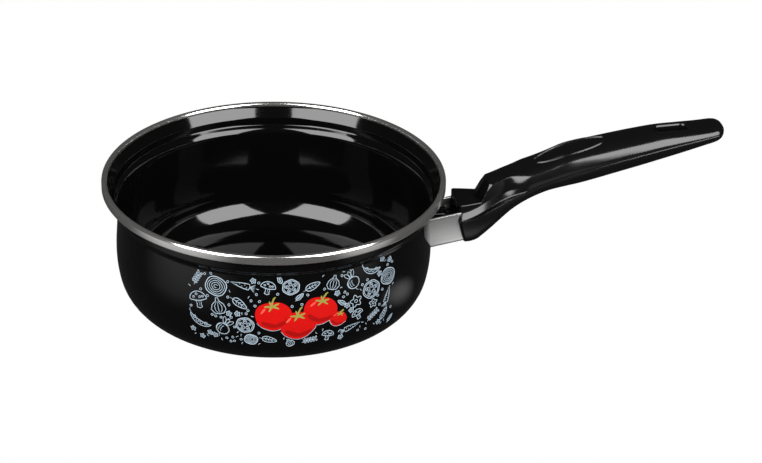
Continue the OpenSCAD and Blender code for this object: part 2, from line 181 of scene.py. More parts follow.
# %% [markdown]
# ## Finishes that are not quite even
# Enamel is glass fused to steel, and phenolic is pressed in a polished mould: both are glossy, but
# their gloss and their surface change a little from place to place. A photo texture could show
# that, but it would bring someone's picture along. Noise does it without one. It is put in a node
# group, because enamel, plastic, zinc and ink all use it with other values. The group gives only
# what changes over the surface, and the shader stays in the material.

# %% A shader group
FLOAT, COLOR, VECTOR = "NodeSocketFloat", "NodeSocketColor", "NodeSocketVector"


def group(name, inputs, outputs):
    """An empty group with its sockets."""
    tree = bpy.data.node_groups.new(name, "ShaderNodeTree")
    for label, kind, value in inputs:
        tree.interface.new_socket(label, in_out="INPUT", socket_type=kind).default_value = value
    for label, kind in outputs:
        tree.interface.new_socket(label, in_out="OUTPUT", socket_type=kind)
    return tree, tree.nodes.new("NodeGroupInput"), tree.nodes.new("NodeGroupOutput")


def new_nodes(tree, *kinds):
    return [tree.nodes.new("ShaderNode" + kind) for kind in kinds]


def wire(link, *ways):
    """Links a node's output to another node's input, each by its name or number."""
    for source, output, target, socket in ways:
        link(source.outputs[output], target.inputs[socket])

# %% Uneven gloss
uneven_gloss, g_in, g_out = group("uneven_gloss", [
    ("Roughness", FLOAT, 0.2), ("Roughness spread", FLOAT, 0.05), ("Mottle scale", FLOAT, 60.0),
    ("Bump scale", FLOAT, 200.0), ("Bump height", FLOAT, 0.00002), ("Edge radius", FLOAT, 0.0)],
    [("Roughness", FLOAT), ("Normal", VECTOR)])
link = uneven_gloss.links.new
coord, mottle, ripple, bump, soft_edge = new_nodes(
    uneven_gloss, "TexCoord", "TexNoise", "TexNoise", "Bump", "Bevel")
centred, spread, total = new_nodes(uneven_gloss, "Math", "Math", "Math")
centred.operation, spread.operation, total.operation = "SUBTRACT", "MULTIPLY", "ADD"
centred.inputs[1].default_value = 0.5
mottle.inputs["Detail"].default_value = 3
soft_edge.samples = 8
for noise, label in ((mottle, "Mottle scale"), (ripple, "Bump scale")):
    link(coord.outputs["Object"], noise.inputs["Vector"])
    link(g_in.outputs[label], noise.inputs["Scale"])
wire(link, (mottle, 0, centred, 0), (centred, 0, spread, 0),
     (g_in, "Roughness spread", spread, 1), (spread, 0, total, 0), (g_in, "Roughness", total, 1),
     (total, 0, g_out, "Roughness"), (g_in, "Edge radius", soft_edge, "Radius"),
     (soft_edge, 0, bump, "Normal"), (ripple, 0, bump, "Height"),
     (g_in, "Bump height", bump, "Distance"), (bump, 0, g_out, "Normal"))
print("group:", uneven_gloss.name)

# %% [markdown]
# ## Lines in rolled steel
# The rolls that press a steel strip leave fine lines along it, and they draw the highlights out.
# Real grooves would need millions of faces, and an anisotropic shader would hide the single lines.
# Noise stretched along the UV map gives both the lines and their tint, so this group is a second
# one, with a colour and a normal.

# %% Brushed lines
brushed_lines, g_in, g_out = group("brushed_lines", [
    ("Color", COLOR, (0.72, 0.71, 0.69, 1)), ("Line scale", VECTOR, (1, 1, 1)),
    ("Line contrast", FLOAT, 0.1), ("Bump height", FLOAT, 0.00001)],
    [("Color", COLOR), ("Normal", VECTOR)])
link = brushed_lines.links.new
coord, mapping, noise, bump, spread, darker = new_nodes(
    brushed_lines, "TexCoord", "Mapping", "TexNoise", "Bump", "MapRange", "Mix")
darker.data_type, darker.blend_type = "RGBA", "MULTIPLY"
noise.inputs["Scale"].default_value, noise.inputs["Detail"].default_value = 1, 4
for label, value in (("From Min", 0.3), ("From Max", 0.7), ("To Min", 1.0), ("To Max", 0.75)):
    spread.inputs[label].default_value = value
wire(link, (coord, "UV", mapping, "Vector"), (g_in, "Line scale", mapping, "Scale"),
     (mapping, 0, noise, "Vector"), (noise, 0, bump, "Height"),
     (g_in, "Bump height", bump, "Distance"), (noise, 0, spread, "Value"),
     (g_in, "Line contrast", darker, "Factor"), (g_in, "Color", darker, 6),
     (spread, 0, darker, 7), (darker, 2, g_out, "Color"), (bump, 0, g_out, "Normal"))
print("group:", brushed_lines.name)

# %% [markdown]
# ## The materials
# Each finish is one principled shader. What is the same all over, such as its colour, is set on
# the shader's own socket, and the group's outputs are linked on top. Writing the trees one by one
# would repeat the same nodes, so one function makes them, and each finish below is a line of
# values.

# %% One material
def material(name, tree, shader, **values):
    """A principled shader with plain values, and the group's changing values on top."""
    m = bpy.data.materials.new(name)
    m.use_nodes = True
    m.node_tree.nodes.clear()
    link = m.node_tree.links.new
    node, bsdf, out = new_nodes(m.node_tree, "Group", "BsdfPrincipled", "OutputMaterial")
    node.node_tree = tree
    for label, value in values.items():
        node.inputs[label.replace("_", " ")].default_value = value
    for label, value in shader.items():
        bsdf.inputs[label].default_value = value
    for socket in node.outputs:
        link(socket, bsdf.inputs["Base Color" if socket.name == "Color" else socket.name])
    link(bsdf.outputs[0], out.inputs["Surface"])
    return m


def grey(v):
    return (v, v, v, 1)


def gloss(name, color, roughness, metallic=0.0, reflection=0.5, **values):
    shader = {"Base Color": color, "Metallic": metallic, "Specular IOR Level": reflection}
    return material(name, uneven_gloss, shader, Roughness=roughness, **values)


def steel(name, color, roughness, metallic, **values):
    shader = {"Metallic": metallic, "Roughness": roughness}
    return material(name, brushed_lines, shader, Color=color, **values)

# %% Enamel, phenolic and zinc
enamel = gloss("black_enamel", grey(0.0012), 0.07, Roughness_spread=0.03, Mottle_scale=40.0,
               Bump_scale=90.0, Bump_height=0.00003)
phenolic = gloss("phenolic", grey(0.0025), 0.16, Roughness_spread=0.04, Mottle_scale=80.0,
                 Bump_scale=900.0, Bump_height=0.00001, Edge_radius=0.0009)
zinc = gloss("zinc_plate", (0.62, 0.62, 0.6, 1), 0.32, 1.0, Roughness_spread=0.1,
             Mottle_scale=400.0, Bump_scale=1500.0, Bump_height=0.00001)
print("made:", enamel.name, phenolic.name, zinc.name)

# %% Bright steels and inks
rim_steel = steel("rim_stainless", (0.75, 0.74, 0.72, 1), 0.13, 0.955,
                  Line_scale=(30, 2500, 1), Line_contrast=0.3)
guard_steel = steel("guard_stainless", (0.66, 0.66, 0.655, 1), 0.15, 0.88,
                    Line_scale=(60, 4000, 1), Line_contrast=0.35)
chalk, red, dark_red, shine, green = (
    gloss(name, (*color, 1), 0.35, reflection=0.1, Mottle_scale=300.0) for name, color in (
        ("chalk_print", (0.23, 0.285, 0.33)), ("red_print", (0.3, 0.0016, 0.001)),
        ("dark_red_print", (0.18, 0.001, 0.0006)), ("shine_print", (0.42, 0.05, 0.035)),
        ("green_print", (0.16, 0.15, 0.03))))
print(len(bpy.data.materials), "materials")

# %% [markdown]
# ## Bowl
# The bowl is one sheet of steel, drawn in a press: a flat base, a rounded edge, the belly, the
# waist, a step that carries a lid, a flare, a collar and a fold at the edge. It could be a
# sculpted or subdivided cylinder, but every bend has a radius, so the outline is drawn once and
# turned round the axis. The two belly arcs are worked out so that they meet upright at the widest
# place.

# %% Bowl's outline
low_round = 0.995 * (BELLY_H - CORNER * (1 - sin(LOW_SLOPE))) / sin(LOW_SLOPE)
foot_r = BELLY_R - (BELLY_H - low_round * tan(LOW_SLOPE / 2)) * tan(LOW_SLOPE)
w_in, w_up = BELLY_R - WALL - WAIST_R, WAIST_H - BELLY_H
high_w = 2 * (HIGH_ROUND - WALL) - w_in
high_slope = 2 * atan((w_up - sqrt(w_up * w_up - high_w * w_in)) / high_w)
bowl_path = [
    (0, WALL), (foot_r - WALL * (1 - sin(LOW_SLOPE)) / cos(LOW_SLOPE), WALL),
    (BELLY_R - WALL, BELLY_H - (low_round - WALL) * tan(LOW_SLOPE / 2)),
    (BELLY_R - WALL, BELLY_H + (HIGH_ROUND - WALL) * tan(high_slope / 2)),
    (WAIST_R, WAIST_H), (SEAT_R, SEAT_H), (SEAT_R, FLARE_H), (COLLAR_R, COLLAR_H),
    (COLLAR_R, HEM_TOP), (COLLAR_R + HEM_W, HEM_TOP), (COLLAR_R + HEM_W, HEM_TOP - HEM_DROP)]
bowl_radii = [0, CORNER - WALL, low_round - WALL, HIGH_ROUND - WALL, WAIST_ROUND, STEP_ROUND,
              STEP_ROUND, STEP_ROUND, HEM_ROUND, HEM_ROUND, 0]
inner = rounded(bowl_path, bowl_radii, 14)
outer = rounded(beside(bowl_path, WALL), radii_beside(bowl_path, bowl_radii, WALL), 14)
inner[0][0] = outer[0][0] = 0.02
print("outline of", len(inner) + len(outer), "points")

# %% [markdown]
# A screw modifier could turn the outline. A loop over the angle gives the same rings and closes
# them without a seam. Points on the axis would lie on top of each other, so the outline starts
# 0.02 mm beside it, and the tiny ring is then joined into one point.

# %% Turning the outline
def lathe(name, loop, material, around=360, smooth=40):
    """Turns a closed outline in (radius, height) round the Z axis, without its repeated points."""
    loop = [p for p, q in zip(loop, loop[1:] + loop[:1]) if dist(p, q) > 1e-3]
    verts = []
    for k in range(around):
        a = 2 * pi * k / around
        verts += [(r * cos(a), r * sin(a), z) for r, z in loop]
    return add(name, verts, strip(around, len(loop), closed_rows=True), material, smooth)


def close_middle(obj, reach=0.00003):
    """Joins the tiny rings of points on the axis into one point each."""
    bm = bmesh.new()
    bm.from_mesh(obj.data)
    middle = [v for v in bm.verts if hypot(v.co.x, v.co.y) < reach]
    bmesh.ops.remove_doubles(bm, verts=middle, dist=2 * reach)
    bmesh.ops.delete(bm, geom=[e for e in bm.edges if not e.link_faces], context="EDGES")
    bm.to_mesh(obj.data)
    bm.free()
    return obj


bowl = show(close_middle(lathe("bowl", inner + outer[::-1], enamel)))
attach(bowl, "root")
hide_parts("pan_shell")

# %% [markdown]
# What is welded to the bowl or cut to fit it needs the wall's radius at a height. A ray cast at
# the mesh would find it, but the outline already holds it, so it is read from there.

# %% Wall's radius at a height
OUTER = np.array(outer)
FOLD_H, BASE_R = 70.5, 60  # above this height the sheet is double, inside this radius it lies flat


def wall_r(z):
    """Outer radius of the wall below the fold, at a height."""
    keep = OUTER[: np.argmax(OUTER[:, 1] > FOLD_H)]
    i = np.argmax(keep[:, 0] > BASE_R)
    return float(np.interp(z, keep[i:, 1], keep[i:, 0]))


print("wall at the handle:", round(wall_r(LINE_0), 2), "mm")

# %% [markdown]
# ## Printed design
# Enamelled pans carry a print that is fired on with the enamel. This one is a wreath of vegetables
# in chalk lines round ripe tomatoes. An image texture could carry it, but lines drawn as thin
# meshes stay sharp at any size and need no picture file. They are drawn flat first, because that
# is easy to lay out, and then wrapped on the belly.

# %% Belly's values for the wrap
BELLY = {"Belly radius": BELLY_R / 1000, "Belly height": BELLY_H / 1000,
         "High round": HIGH_ROUND / 1000, "High reach": HIGH_ROUND * sin(high_slope) / 1000,
         "High slope": tan(high_slope), "Low round": low_round / 1000,
         "Low reach": low_round * sin(LOW_SLOPE) / 1000, "Low slope": tan(LOW_SLOPE)}
print("wrap radius", BELLY["Belly radius"], "m")

# %% [markdown]
# Wrapping is a job for Geometry Nodes, because one tree then serves every colour. The point's x
# becomes an angle, its z a height, and its y how far it stands off the wall. Above and below the
# widest place the wall draws in along an arc and then a straight slope, and the tree works that
# out from its named inputs.

# %% A tree and its sums
def wrap_tree():
    """An empty tree with a named input for each of the belly's values."""
    tree = bpy.data.node_groups.new("wrap_on_belly", "GeometryNodeTree")
    for label, kind in (("Geometry", "NodeSocketGeometry"), *((label, FLOAT) for label in BELLY),
                        ("Finish", "NodeSocketMaterial")):
        tree.interface.new_socket(label, in_out="INPUT", socket_type=kind)
    tree.interface.new_socket("Geometry", in_out="OUTPUT", socket_type="NodeSocketGeometry")
    return tree


def sums(tree, *kinds):
    """For each kind of sum, a function that adds its node and gives the output."""
    def maker(kind):
        def new(a, b=0.0):
            node, = new_nodes(tree, "Math")
            node.operation = kind
            for socket, value in zip(node.inputs, (a, b)):
                if isinstance(value, (int, float)):
                    socket.default_value = value
                else:
                    tree.links.new(value, socket)
            return node.outputs[0]
        return new
    return [maker(kind) for kind in kinds]

# %% Where a flat point goes
WRAP = wrap_tree()
g_in, g_out = (WRAP.nodes.new("NodeGroup" + kind) for kind in ("Input", "Output"))
times, minus, plus, larger, smaller, root, ratio, sine, cosine = sums(
    WRAP, "MULTIPLY", "SUBTRACT", "ADD", "MAXIMUM", "MINIMUM", "SQRT", "DIVIDE", "SINE", "COSINE")


def drawn_in(distance, part):
    """How far the wall has drawn in at a distance above or below the widest place."""
    r, reach, slope = (g_in.outputs[part + name] for name in (" round", " reach", " slope"))
    d = larger(distance, 0.0)
    near = smaller(d, reach)
    arc_in = minus(r, root(minus(times(r, r), times(near, near))))
    return plus(arc_in, times(minus(d, near), slope))


split, join = new_nodes(WRAP, "SeparateXYZ", "CombineXYZ")
u, lift, v = split.outputs
up = minus(v, g_in.outputs["Belly height"])
total = plus(drawn_in(up, "High"), drawn_in(times(up, -1.0), "Low"))
r = plus(minus(g_in.outputs["Belly radius"], total), lift)
a = ratio(u, g_in.outputs["Belly radius"])
for value, socket in zip((times(r, sine(a)), times(times(r, cosine(a)), -1.0), v), join.inputs):
    WRAP.links.new(value, socket)
print("sums:", len(WRAP.nodes) - 4)

# %% [markdown]
# The new place goes to a Set Position node. The tree ends in Realize Instances and Set Material,
# so that what leaves it is plain geometry with its ink.

# %% Ends of the tree
here, place, real, finish = (WRAP.nodes.new("GeometryNode" + kind) for kind in (
    "InputPosition", "SetPosition", "RealizeInstances", "SetMaterial"))
wire(WRAP.links.new, (here, 0, split, 0), (g_in, "Geometry", place, "Geometry"),
     (join, 0, place, "Position"), (place, 0, real, 0), (real, 0, finish, 0),
     (g_in, "Finish", finish, "Material"), (finish, 0, g_out, 0))
print("tree:", WRAP.name, len(WRAP.nodes), "nodes")

# %% [markdown]
# A chalk line is a ribbon with a little height, so that it shows above the enamel and catches
# light. A curve with a bevel would be round and far heavier. Four points at each step make a flat
# ribbon, and its ends taper as a stroke of chalk does.

# %% A line of chalk
INK_DEPTH = 0.05  # how far a print's under side lies in the enamel
STROKE_TIP = 0.22  # width of a stroke's end, as a share of its width


def stroke(points, width, closed=False, lift=0.09):
    """A closed ribbon along a line, as vertices and faces."""
    p = np.array(points, float)
    n = len(p)
    d = np.roll(p, -1, 0) - np.roll(p, 1, 0)
    if not closed:
        d[0], d[-1] = p[1] - p[0], p[-1] - p[-2]
    d /= np.maximum(np.linalg.norm(d, axis=1, keepdims=True), 1e-9)
    side = np.stack([-d[:, 1], d[:, 0]], 1)
    w = np.full(n, width / 2)
    if not closed:
        w[0] = w[-1] = width * STROKE_TIP
    verts, low = [], -INK_DEPTH
    for q, s, k in zip(p, side, w):
        a, b = q + s * k, q - s * k
        verts += [(a[0], lift, a[1]), (b[0], lift, b[1]), (b[0], low, b[1]), (a[0], low, a[1])]
    return verts, strip(n, 4, True) if closed else tube(n, 4)

# %% [markdown]
# A printed field of colour has to bend with the belly. One large face would cut through the wall,
# so the shape is filled with rings that shrink towards its middle.

# %% A field of colour
def fill(outline, lift=0.05, rings=7):
    """A filled shape as a thin closed patch, from rings shrunk to its middle."""
    p = np.array(outline, float)
    c, n, verts, faces = p.mean(0), len(p), [], []
    for h in (lift, -INK_DEPTH):
        for k in range(rings, 0, -1):
            verts += [(x, h, z) for x, z in c + (p - c) * k / rings]
        verts.append((c[0], h, c[1]))
    half = n * rings + 1
    for base, flip in ((0, False), (half, True)):
        layer = [(base + a, base + b, base + d, base + e) for a, b, d, e in strip(rings, n)]
        m = base + n * (rings - 1)
        layer += [(m + i, m + (i + 1) % n, base + half - 1) for i in range(n)]
        faces += [f[::-1] if flip else f for f in layer]
    faces += [(i, half + i, half + (i + 1) % n, (i + 1) % n) for i in range(n)]
    return verts, faces

# %% [markdown]
# Every motif is made of ovals, arcs and short lines. Each is drawn round the origin, where its
# numbers are easy to read, and a small class turns, scales and moves it to its place. Copies of a
# finished mesh would do too, but then a smaller motif would have thinner lines. This way all lines
# have the two widths of the chalk.

# %% Ovals and arcs
def turned(x, y, turn, cx=0.0, cy=0.0):
    """A point turned round the origin and then moved."""
    c, s = cos(turn), sin(turn)
    return cx + x * c - y * s, cy + x * s + y * c


def oval(cx, cy, rx, ry, turn=0.0, n=28, wobble=0.0, waves=5, phase=0.0):
    out = []
    for a in (2 * pi * k / n for k in range(n)):
        w = 1 + wobble * sin(waves * a + phase)
        out.append(turned(rx * w * cos(a), ry * w * sin(a), turn, cx, cy))
    return out


def arc(cx, cy, rx, ry, a0, a1, n=14):
    return [(cx + rx * cos(a), cy + ry * sin(a)) for a in np.radians(np.linspace(a0, a1, n))]

# %% A motif's place
class Motif:
    """Strokes drawn at the origin, then turned, scaled and moved to their place."""

    def __init__(self, x, y, size=1.0, turn=0.0):
        self.at, self.size, self.turn = (x, y), size, radians(turn)

    def place(self, points):
        spots = [turned(x, y, self.turn) for x, y in points]
        return [(self.at[0] + self.size * x, self.at[1] + self.size * y) for x, y in spots]


chalk_parts, red_parts, dark_parts, green_parts, light_parts = [], [], [], [], []
LINE, THIN = 0.34, 0.26


def draw(motif, points, closed=False, width=LINE):
    """A chalk line of the wreath."""
    chalk_parts.append(stroke(motif.place(points), width, closed))

# %% Onion and slice of tomato
def onion(m):
    for k, r in enumerate((4.4, 3.5, 2.6, 1.7)):
        draw(m, oval(0, 0, r, r * 0.92, 0, 30, 0.035, 4, k), True, THIN if k else LINE * 1.3)
    draw(m, arc(0, 0, 0.8, 0.7, 20, 300, 8), False, THIN)


def slice_of_tomato(m):
    draw(m, oval(0, 0, 4.5, 4.2, 0, 34, 0.03, 6), True, LINE * 1.2)
    draw(m, oval(0, 0, 3.8, 3.5, 0, 30, 0.03, 6), True, THIN)
    for k in range(5):
        a = radians(72 * k + 20)
        c, t = (2.1 * cos(a), 2.0 * sin(a)), a
        draw(m, oval(*c, 1.15, 0.8, t, 14), True, THIN)
        draw(m, oval(c[0] * 1.1, c[1] * 1.1, 0.3, 0.22, t, 8), True, THIN)

# %% Leaf, flower and sprig
def leaf(m):
    draw(m, [(4.1 * cos(a) + 0.2, 1.8 * sin(a) * (1 - 0.35 * cos(a)))
             for a in np.linspace(0, 2 * pi, 26)[:-1]], True)
    draw(m, [(-5.6, -0.4), (-3, 0), (0, 0.1), (3.5, 0)], False, THIN)
    for k in (-2.2, -0.6, 1.0):
        for side in (-1, 1):
            draw(m, [(k, 0), (k + 0.6, side * 0.6), (k + 1.1, side * 1.1)], False, THIN)


def flower(m):
    draw(m, oval(0, 0, 2.5, 2.5, 0, 40, 0.26, 5), True)
    draw(m, oval(0, 0, 0.8, 0.8, 0, 12), True, THIN)


def sprig(m):
    draw(m, [(-4.4, -0.7), (-2, 0.1), (0, 0.3), (2, 0.1), (4.6, -0.6)])
    for k in (-3.2, -1.6, 0, 1.6, 3.2):
        for side in (-1, 1):
            draw(m, oval(k + 0.5, 0.15 + side * 1.0, 0.85, 0.38, side * 0.9, 10), True, THIN)

# %% Mushroom and carrot
def mushroom(m):
    draw(m, arc(0, 0, 4.2, 3.6, 0, 180, 20) + [(-2, -0.6), (0, -0.9), (2, -0.6)], True)
    draw(m, [(-1.3, -0.9), (-1.0, -2.4), (-1.3, -3.8), (0, -4.3), (1.3, -3.8), (1.0, -2.4),
             (1.3, -0.9)])
    draw(m, [(0.1, -1.2), (0.2, -3.4)], False, THIN)
    for a, b in ((-2.1, 1.1), (-0.5, 2.3), (1.0, 1.0), (2.4, 1.2)):
        draw(m, oval(a, b, 0.55, 0.42, 0, 10), True, THIN)
    for k in range(-3, 4):
        draw(m, [(k * 0.95, -0.1), (k * 0.7, -0.6)], False, THIN)


def carrot(m):
    draw(m, [(-3.4, 1.6), (-3.9, 0), (-3.4, -1.6), (-1, -1.5), (2, -1.0), (6.2, 0), (2, 1.0),
             (-1, 1.5)], True)
    for k, h in ((-2.4, 1.3), (-1.2, -1.2), (0.1, 1.0), (1.4, -0.9), (2.8, 0.6)):
        draw(m, [(k, h), (k + 0.25, h * 0.4), (k, h * 0.1)], False, THIN)
    for b in (-1.8, -0.9, 0, 0.9, 1.8):
        draw(m, [(-3.9, 0.15 * b), (-5.1, 0.6 * b), (-6.4, 1.2 * b)], False, THIN)

# %% Pod, radish and garlic
def pod(m):
    draw(m, arc(0, 3.4, 6.6, 6.0, 205, 335, 22) + arc(0, 1.5, 6.1, 1.6, 325, 215, 16), True)
    for k in (-3.3, -1.1, 1.1, 3.3):
        draw(m, oval(k, -0.95 + 0.09 * k * k, 0.8, 0.8, 0, 12), True, THIN)
    draw(m, [(-5.7, 1.0), (-6.8, 1.9), (-7.2, 3.0)], False, THIN)


def radish(m):
    draw(m, oval(0, -0.4, 3.1, 2.9, 0, 28, 0.02, 3), True)
    draw(m, [(-0.3, -3.3), (0.1, -4.4), (0.8, -5.3)], False, THIN)
    for x in (-1.6, -0.6, 0.5):
        draw(m, arc(x, -0.4, 1.2, 2.0, 120, 240, 9), False, THIN)
    for k, t in ((-1.3, 2.1), (0, 1.57), (1.3, 1.05)):
        draw(m, oval(k * 1.1, 4.3, 1.9, 0.75, t, 16), True, THIN)


def garlic(m):
    draw(m, [(0.5, 4.0), (0.7, 2.6), (2.6, 1.0), (3.3, -1.2), (2.1, -3.0), (0, -3.4), (-2.1, -3.0),
             (-3.3, -1.2), (-2.6, 1.0), (-0.7, 2.6), (-0.5, 4.0)], True)
    for side in (-1, 0, 1):
        draw(m, [(side * a, b) for a, b in ((0.4, 2.4), (1.6, 0.2), (1.5, -1.6), (0.5, -3.0))],
             False, THIN)

# %% [markdown]
# The tomatoes are the only solid colours. A printer lays one ink over another, so each tomato is a
# red field with a dark shade, a light spot, green sepals and a stem, each a little higher than
# what lies under it.

# %% Tomato
def tomato(x, y, size, turn=0):
    """Fields and strokes of one tomato."""
    m = Motif(x, y, size, turn)
    body = [(8 * cos(a) * (1 + 0.04 * cos(3 * a)), 6.9 * sin(a) - 0.7 * abs(sin(a)) ** 6)
            for a in np.linspace(0, 2 * pi, 61)[:-1]]
    red_parts.append(fill(m.place(body), 0.05))
    outline = [(1.03 * a, 1.03 * b) for a, b in body[34:59]]
    chalk_parts.append(stroke(m.place(outline), 0.22, False, 0.04))
    shade = arc(0.4, -0.6, 6.9, 5.7, 205, 330, 22) + arc(0.9, 0.2, 6.3, 5.3, 325, 210, 22)
    dark_parts.append(fill(m.place(shade), 0.08, 3))
    light_parts.append(fill(m.place(oval(-3.9, 2.6, 1.7, 0.5, 0.8, 16)), 0.09, 3))
    for k in range(5):
        a = radians(90 + 72 * k + 12)
        cx, cy = 0.3 + 1.7 * cos(a), 4.3 + 0.9 * sin(a)
        sepal = oval(cx, cy, 1.9, 0.45, atan2(sin(a) * 0.6, cos(a)), 16)
        green_parts.append(fill(m.place(sepal), 0.11 + 0.004 * k, 3))
    stem = [(0.3, 4.4), (0.6, 6.2), (1.6, 8.0), (2.4, 8.6)]
    green_parts.append(stroke(m.place(stem), 0.9, False, 0.14))

# %% [markdown]
# The wreath is laid out as a printer would: the tomatoes in the middle, the larger motifs listed
# round them, and then small leaves, flowers, peas and dashes wherever there is room. Each motif
# keeps a circle for itself. A fixed seed draws the same small ones on every run.

# %% Tomatoes and larger motifs
tomato(-12.5, 36.0, 1.2, 8)
tomato(12.5, 37.5, 1.15, -10)
tomato(0.5, 30.0, 1.2, 2)
tomato(22.5, 30.5, 0.62, -20)
taken = [(-12.5, 36, 9.5), (12.5, 38, 9.5), (0.5, 30, 9.5), (22.5, 30.5, 5.5), (-6, 44, 3)]
# Motif, place along the belly and in height, size, turn in degrees, radius that it keeps free
for kind, x, y, size, turn, reach in (
        (sprig, -54, 52.5, 1.0, 60, 4.6), (onion, -43, 50, 1.35, 0, 6.2),
        (carrot, -28.5, 52.5, 1.05, 168, 4.5), (mushroom, -15, 52, 0.95, -12, 4.4),
        (slice_of_tomato, -3, 52, 1.0, 10, 4.9), (leaf, 8.5, 51.5, 1.0, 24, 3.8),
        (garlic, 20, 51.5, 1.1, -14, 4.4), (radish, 31.5, 49.5, 1.15, 24, 5.4),
        (pod, 43.5, 53.5, 1.0, -16, 5.2), (onion, 55, 45.5, 1.15, 0, 5.3),
        (mushroom, -53, 40.5, 1.2, 14, 5.2), (garlic, -41.5, 38.5, 1.25, 12, 5.0),
        (leaf, -30, 42, 1.05, -34, 4.2), (slice_of_tomato, 43, 42, 1.2, 0, 5.6),
        (flower, 33, 38, 1.15, 12, 3.4), (carrot, 54, 34, 0.95, 70, 5.0),
        (pod, -52, 28, 1.1, -24, 5.8), (radish, -39, 26, 1.15, -30, 5.4),
        (slice_of_tomato, -27, 29.5, 1.05, 0, 4.9), (onion, -24, 20.6, 0.8, 0, 3.8),
        (leaf, -14.5, 21, 0.95, -14, 4.2), (garlic, -3.5, 18.6, 0.7, 30, 3.0),
        (sprig, 7, 19.3, 0.95, 8, 4.0), (mushroom, 17, 21, 0.8, -10, 3.8),
        (carrot, 30, 22.8, 0.95, 16, 5.2), (mushroom, 34, 30, 0.8, 20, 3.6),
        (sprig, 44, 26, 1.0, 34, 4.4), (flower, 44, 33.5, 0.85, 0, 2.6),
        (leaf, 52, 24, 0.85, 60, 3.8)):
    kind(Motif(x, y, size, turn))
    taken.append((x, y, reach))
print(len(taken), "places taken")

# %% Small motifs in the free places
rng = np.random.default_rng(7)
small, TRIES, FIELD_X, FIELD_Z = 0, 900, (-59, 59), (17.5, 57)
SMALL_KINDS = ((flower, 1.5), (leaf, 2.1), (None, 1.0), (oval, 0.9))
for k in range(TRIES):
    x, y, a = rng.uniform(*FIELD_X), rng.uniform(*FIELD_Z), rng.uniform(0, pi)
    kind, reach = SMALL_KINDS[k % 4]
    if any(hypot(x - p, y - q) < r + reach for p, q, r in taken):
        continue
    m = Motif(x, y, reach / 3.6 if kind is leaf else reach / 3, degrees(a))
    if kind is None:
        draw(m, [(-2.4, 0), (0, 0.7), (2.4, 0)])
    elif kind is oval:
        draw(m, oval(0, 0, 2.2, 1.9, 0, 10), True, THIN)
    else:
        kind(m)
    taken.append((x, y, reach))
    small += 1
print(small, "small motifs")

# %% [markdown]
# Each ink becomes one piece, as each colour is one pass of the printer. The tree's inputs are set
# on the modifier by the sockets' identifiers, its result is made a plain mesh, and the modifier
# goes.

# %% One ink's piece
def apply_modifiers(obj):
    """Makes the result of the modifiers the object's own mesh."""
    seen = obj.evaluated_get(bpy.context.evaluated_depsgraph_get())
    mesh = bpy.data.meshes.new_from_object(seen)
    obj.modifiers.clear()
    obj.data = mesh


def print_layer(name, parts, finish):
    """Joins the parts of one ink and wraps them on the belly."""
    verts, faces = [], []
    for v, f in parts:
        faces += [tuple(len(verts) + i for i in face) for face in f]
        verts += v
    flat = add(name, verts, faces, smooth=60)
    mod = flat.modifiers.new("wrap", "NODES")
    mod.node_group = WRAP
    keys = {s.name: s.identifier for s in WRAP.interface.items_tree if s.in_out == "INPUT"}
    for label, value in {**BELLY, "Finish": finish}.items():
        mod[keys[label]] = value
    apply_modifiers(flat)
    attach(flat, "root")
    return show(flat)


for name, parts, finish in (
        ("print_red", red_parts, red), ("print_dark_red", dark_parts, dark_red),
        ("print_green", green_parts, green), ("print_shine", light_parts, shine),
        ("print_chalk", chalk_parts, chalk)):
    print_layer(name, parts, finish)

# %% [markdown]
# ## Rim band
# A raw enamelled edge would chip, so the maker folds a strip of stainless steel over it and rolls
# its lower edge in. A torus would be quick, but the real band is a sheet with flat sides and round
# shoulders, and those give the photo's three bright lines. So it is an outline of a sheet, turned
# like the bowl.

# %% Band's outline and mesh
BAND, LIP, BAND_START, LIP_GAP = 0.4, 0.7, 72.4, 0.8
BOTTOM = HEM_TOP - HEM_DROP - LIP_GAP + BAND
band_path = beside([(COLLAR_R, BAND_START), (COLLAR_R, HEM_TOP), (COLLAR_R + HEM_W, HEM_TOP),
                    (COLLAR_R + HEM_W, BOTTOM + CLEAR), (COLLAR_R + HEM_W - LIP, BOTTOM + CLEAR)],
                   -BAND - CLEAR)
SHOULDER, LIP_ROUND = HEM_ROUND + BAND + CLEAR, BAND + CLEAR
band_loop = sheet(band_path, [0, SHOULDER, SHOULDER, LIP_ROUND, 0], BAND, 12)
rim = show(lathe("rim_strip", band_loop, rim_steel, 420, smooth=50))

# %% [markdown]
# The lines of the strip run round the pan, so they need a UV map whose first direction is the
# angle. A cylinder projection would do it by hand in the editor. The loop below does the same, and
# keeps each face's angles together where the circle closes.

# %% Lines round the rim
RIM_R = 0.0936


def ring_uv(obj):
    """UV from the angle round the pan and the height, for lines that run round the rim."""
    mesh = obj.data
    layer = mesh.uv_layers.new(name="lines")
    for poly in mesh.polygons:
        a0 = None
        for li in poly.loop_indices:
            x, y, z = mesh.vertices[mesh.loops[li].vertex_index].co
            a = atan2(y, x)
            a0 = a if a0 is None else a0
            a += 2 * pi * round((a0 - a) / (2 * pi))
            layer.data[li].uv = (a * RIM_R, z + hypot(x, y))


ring_uv(rim)
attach(rim, "root")
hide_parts("rim_band")

# %% [markdown]
# ## Flame guard
# A bright steel channel keeps the flame off the grip. It is one strip of sheet bent to a U whose
# upper edges are folded in, and its end is cut to the belly's curve. A boolean with the bowl would
# make that cut, but it leaves ragged faces. Here each line along the channel simply starts where
# it meets the belly.

# %% The handle's rising line
def on_line(x, y, z):
    """From the rising line's own frame (x along, z square to it, from the bowl) to the scene."""
    c, s = cos(RISE), sin(RISE)
    return (BELLY_R + x * c - z * s, y, LINE_0 + x * s + z * c)


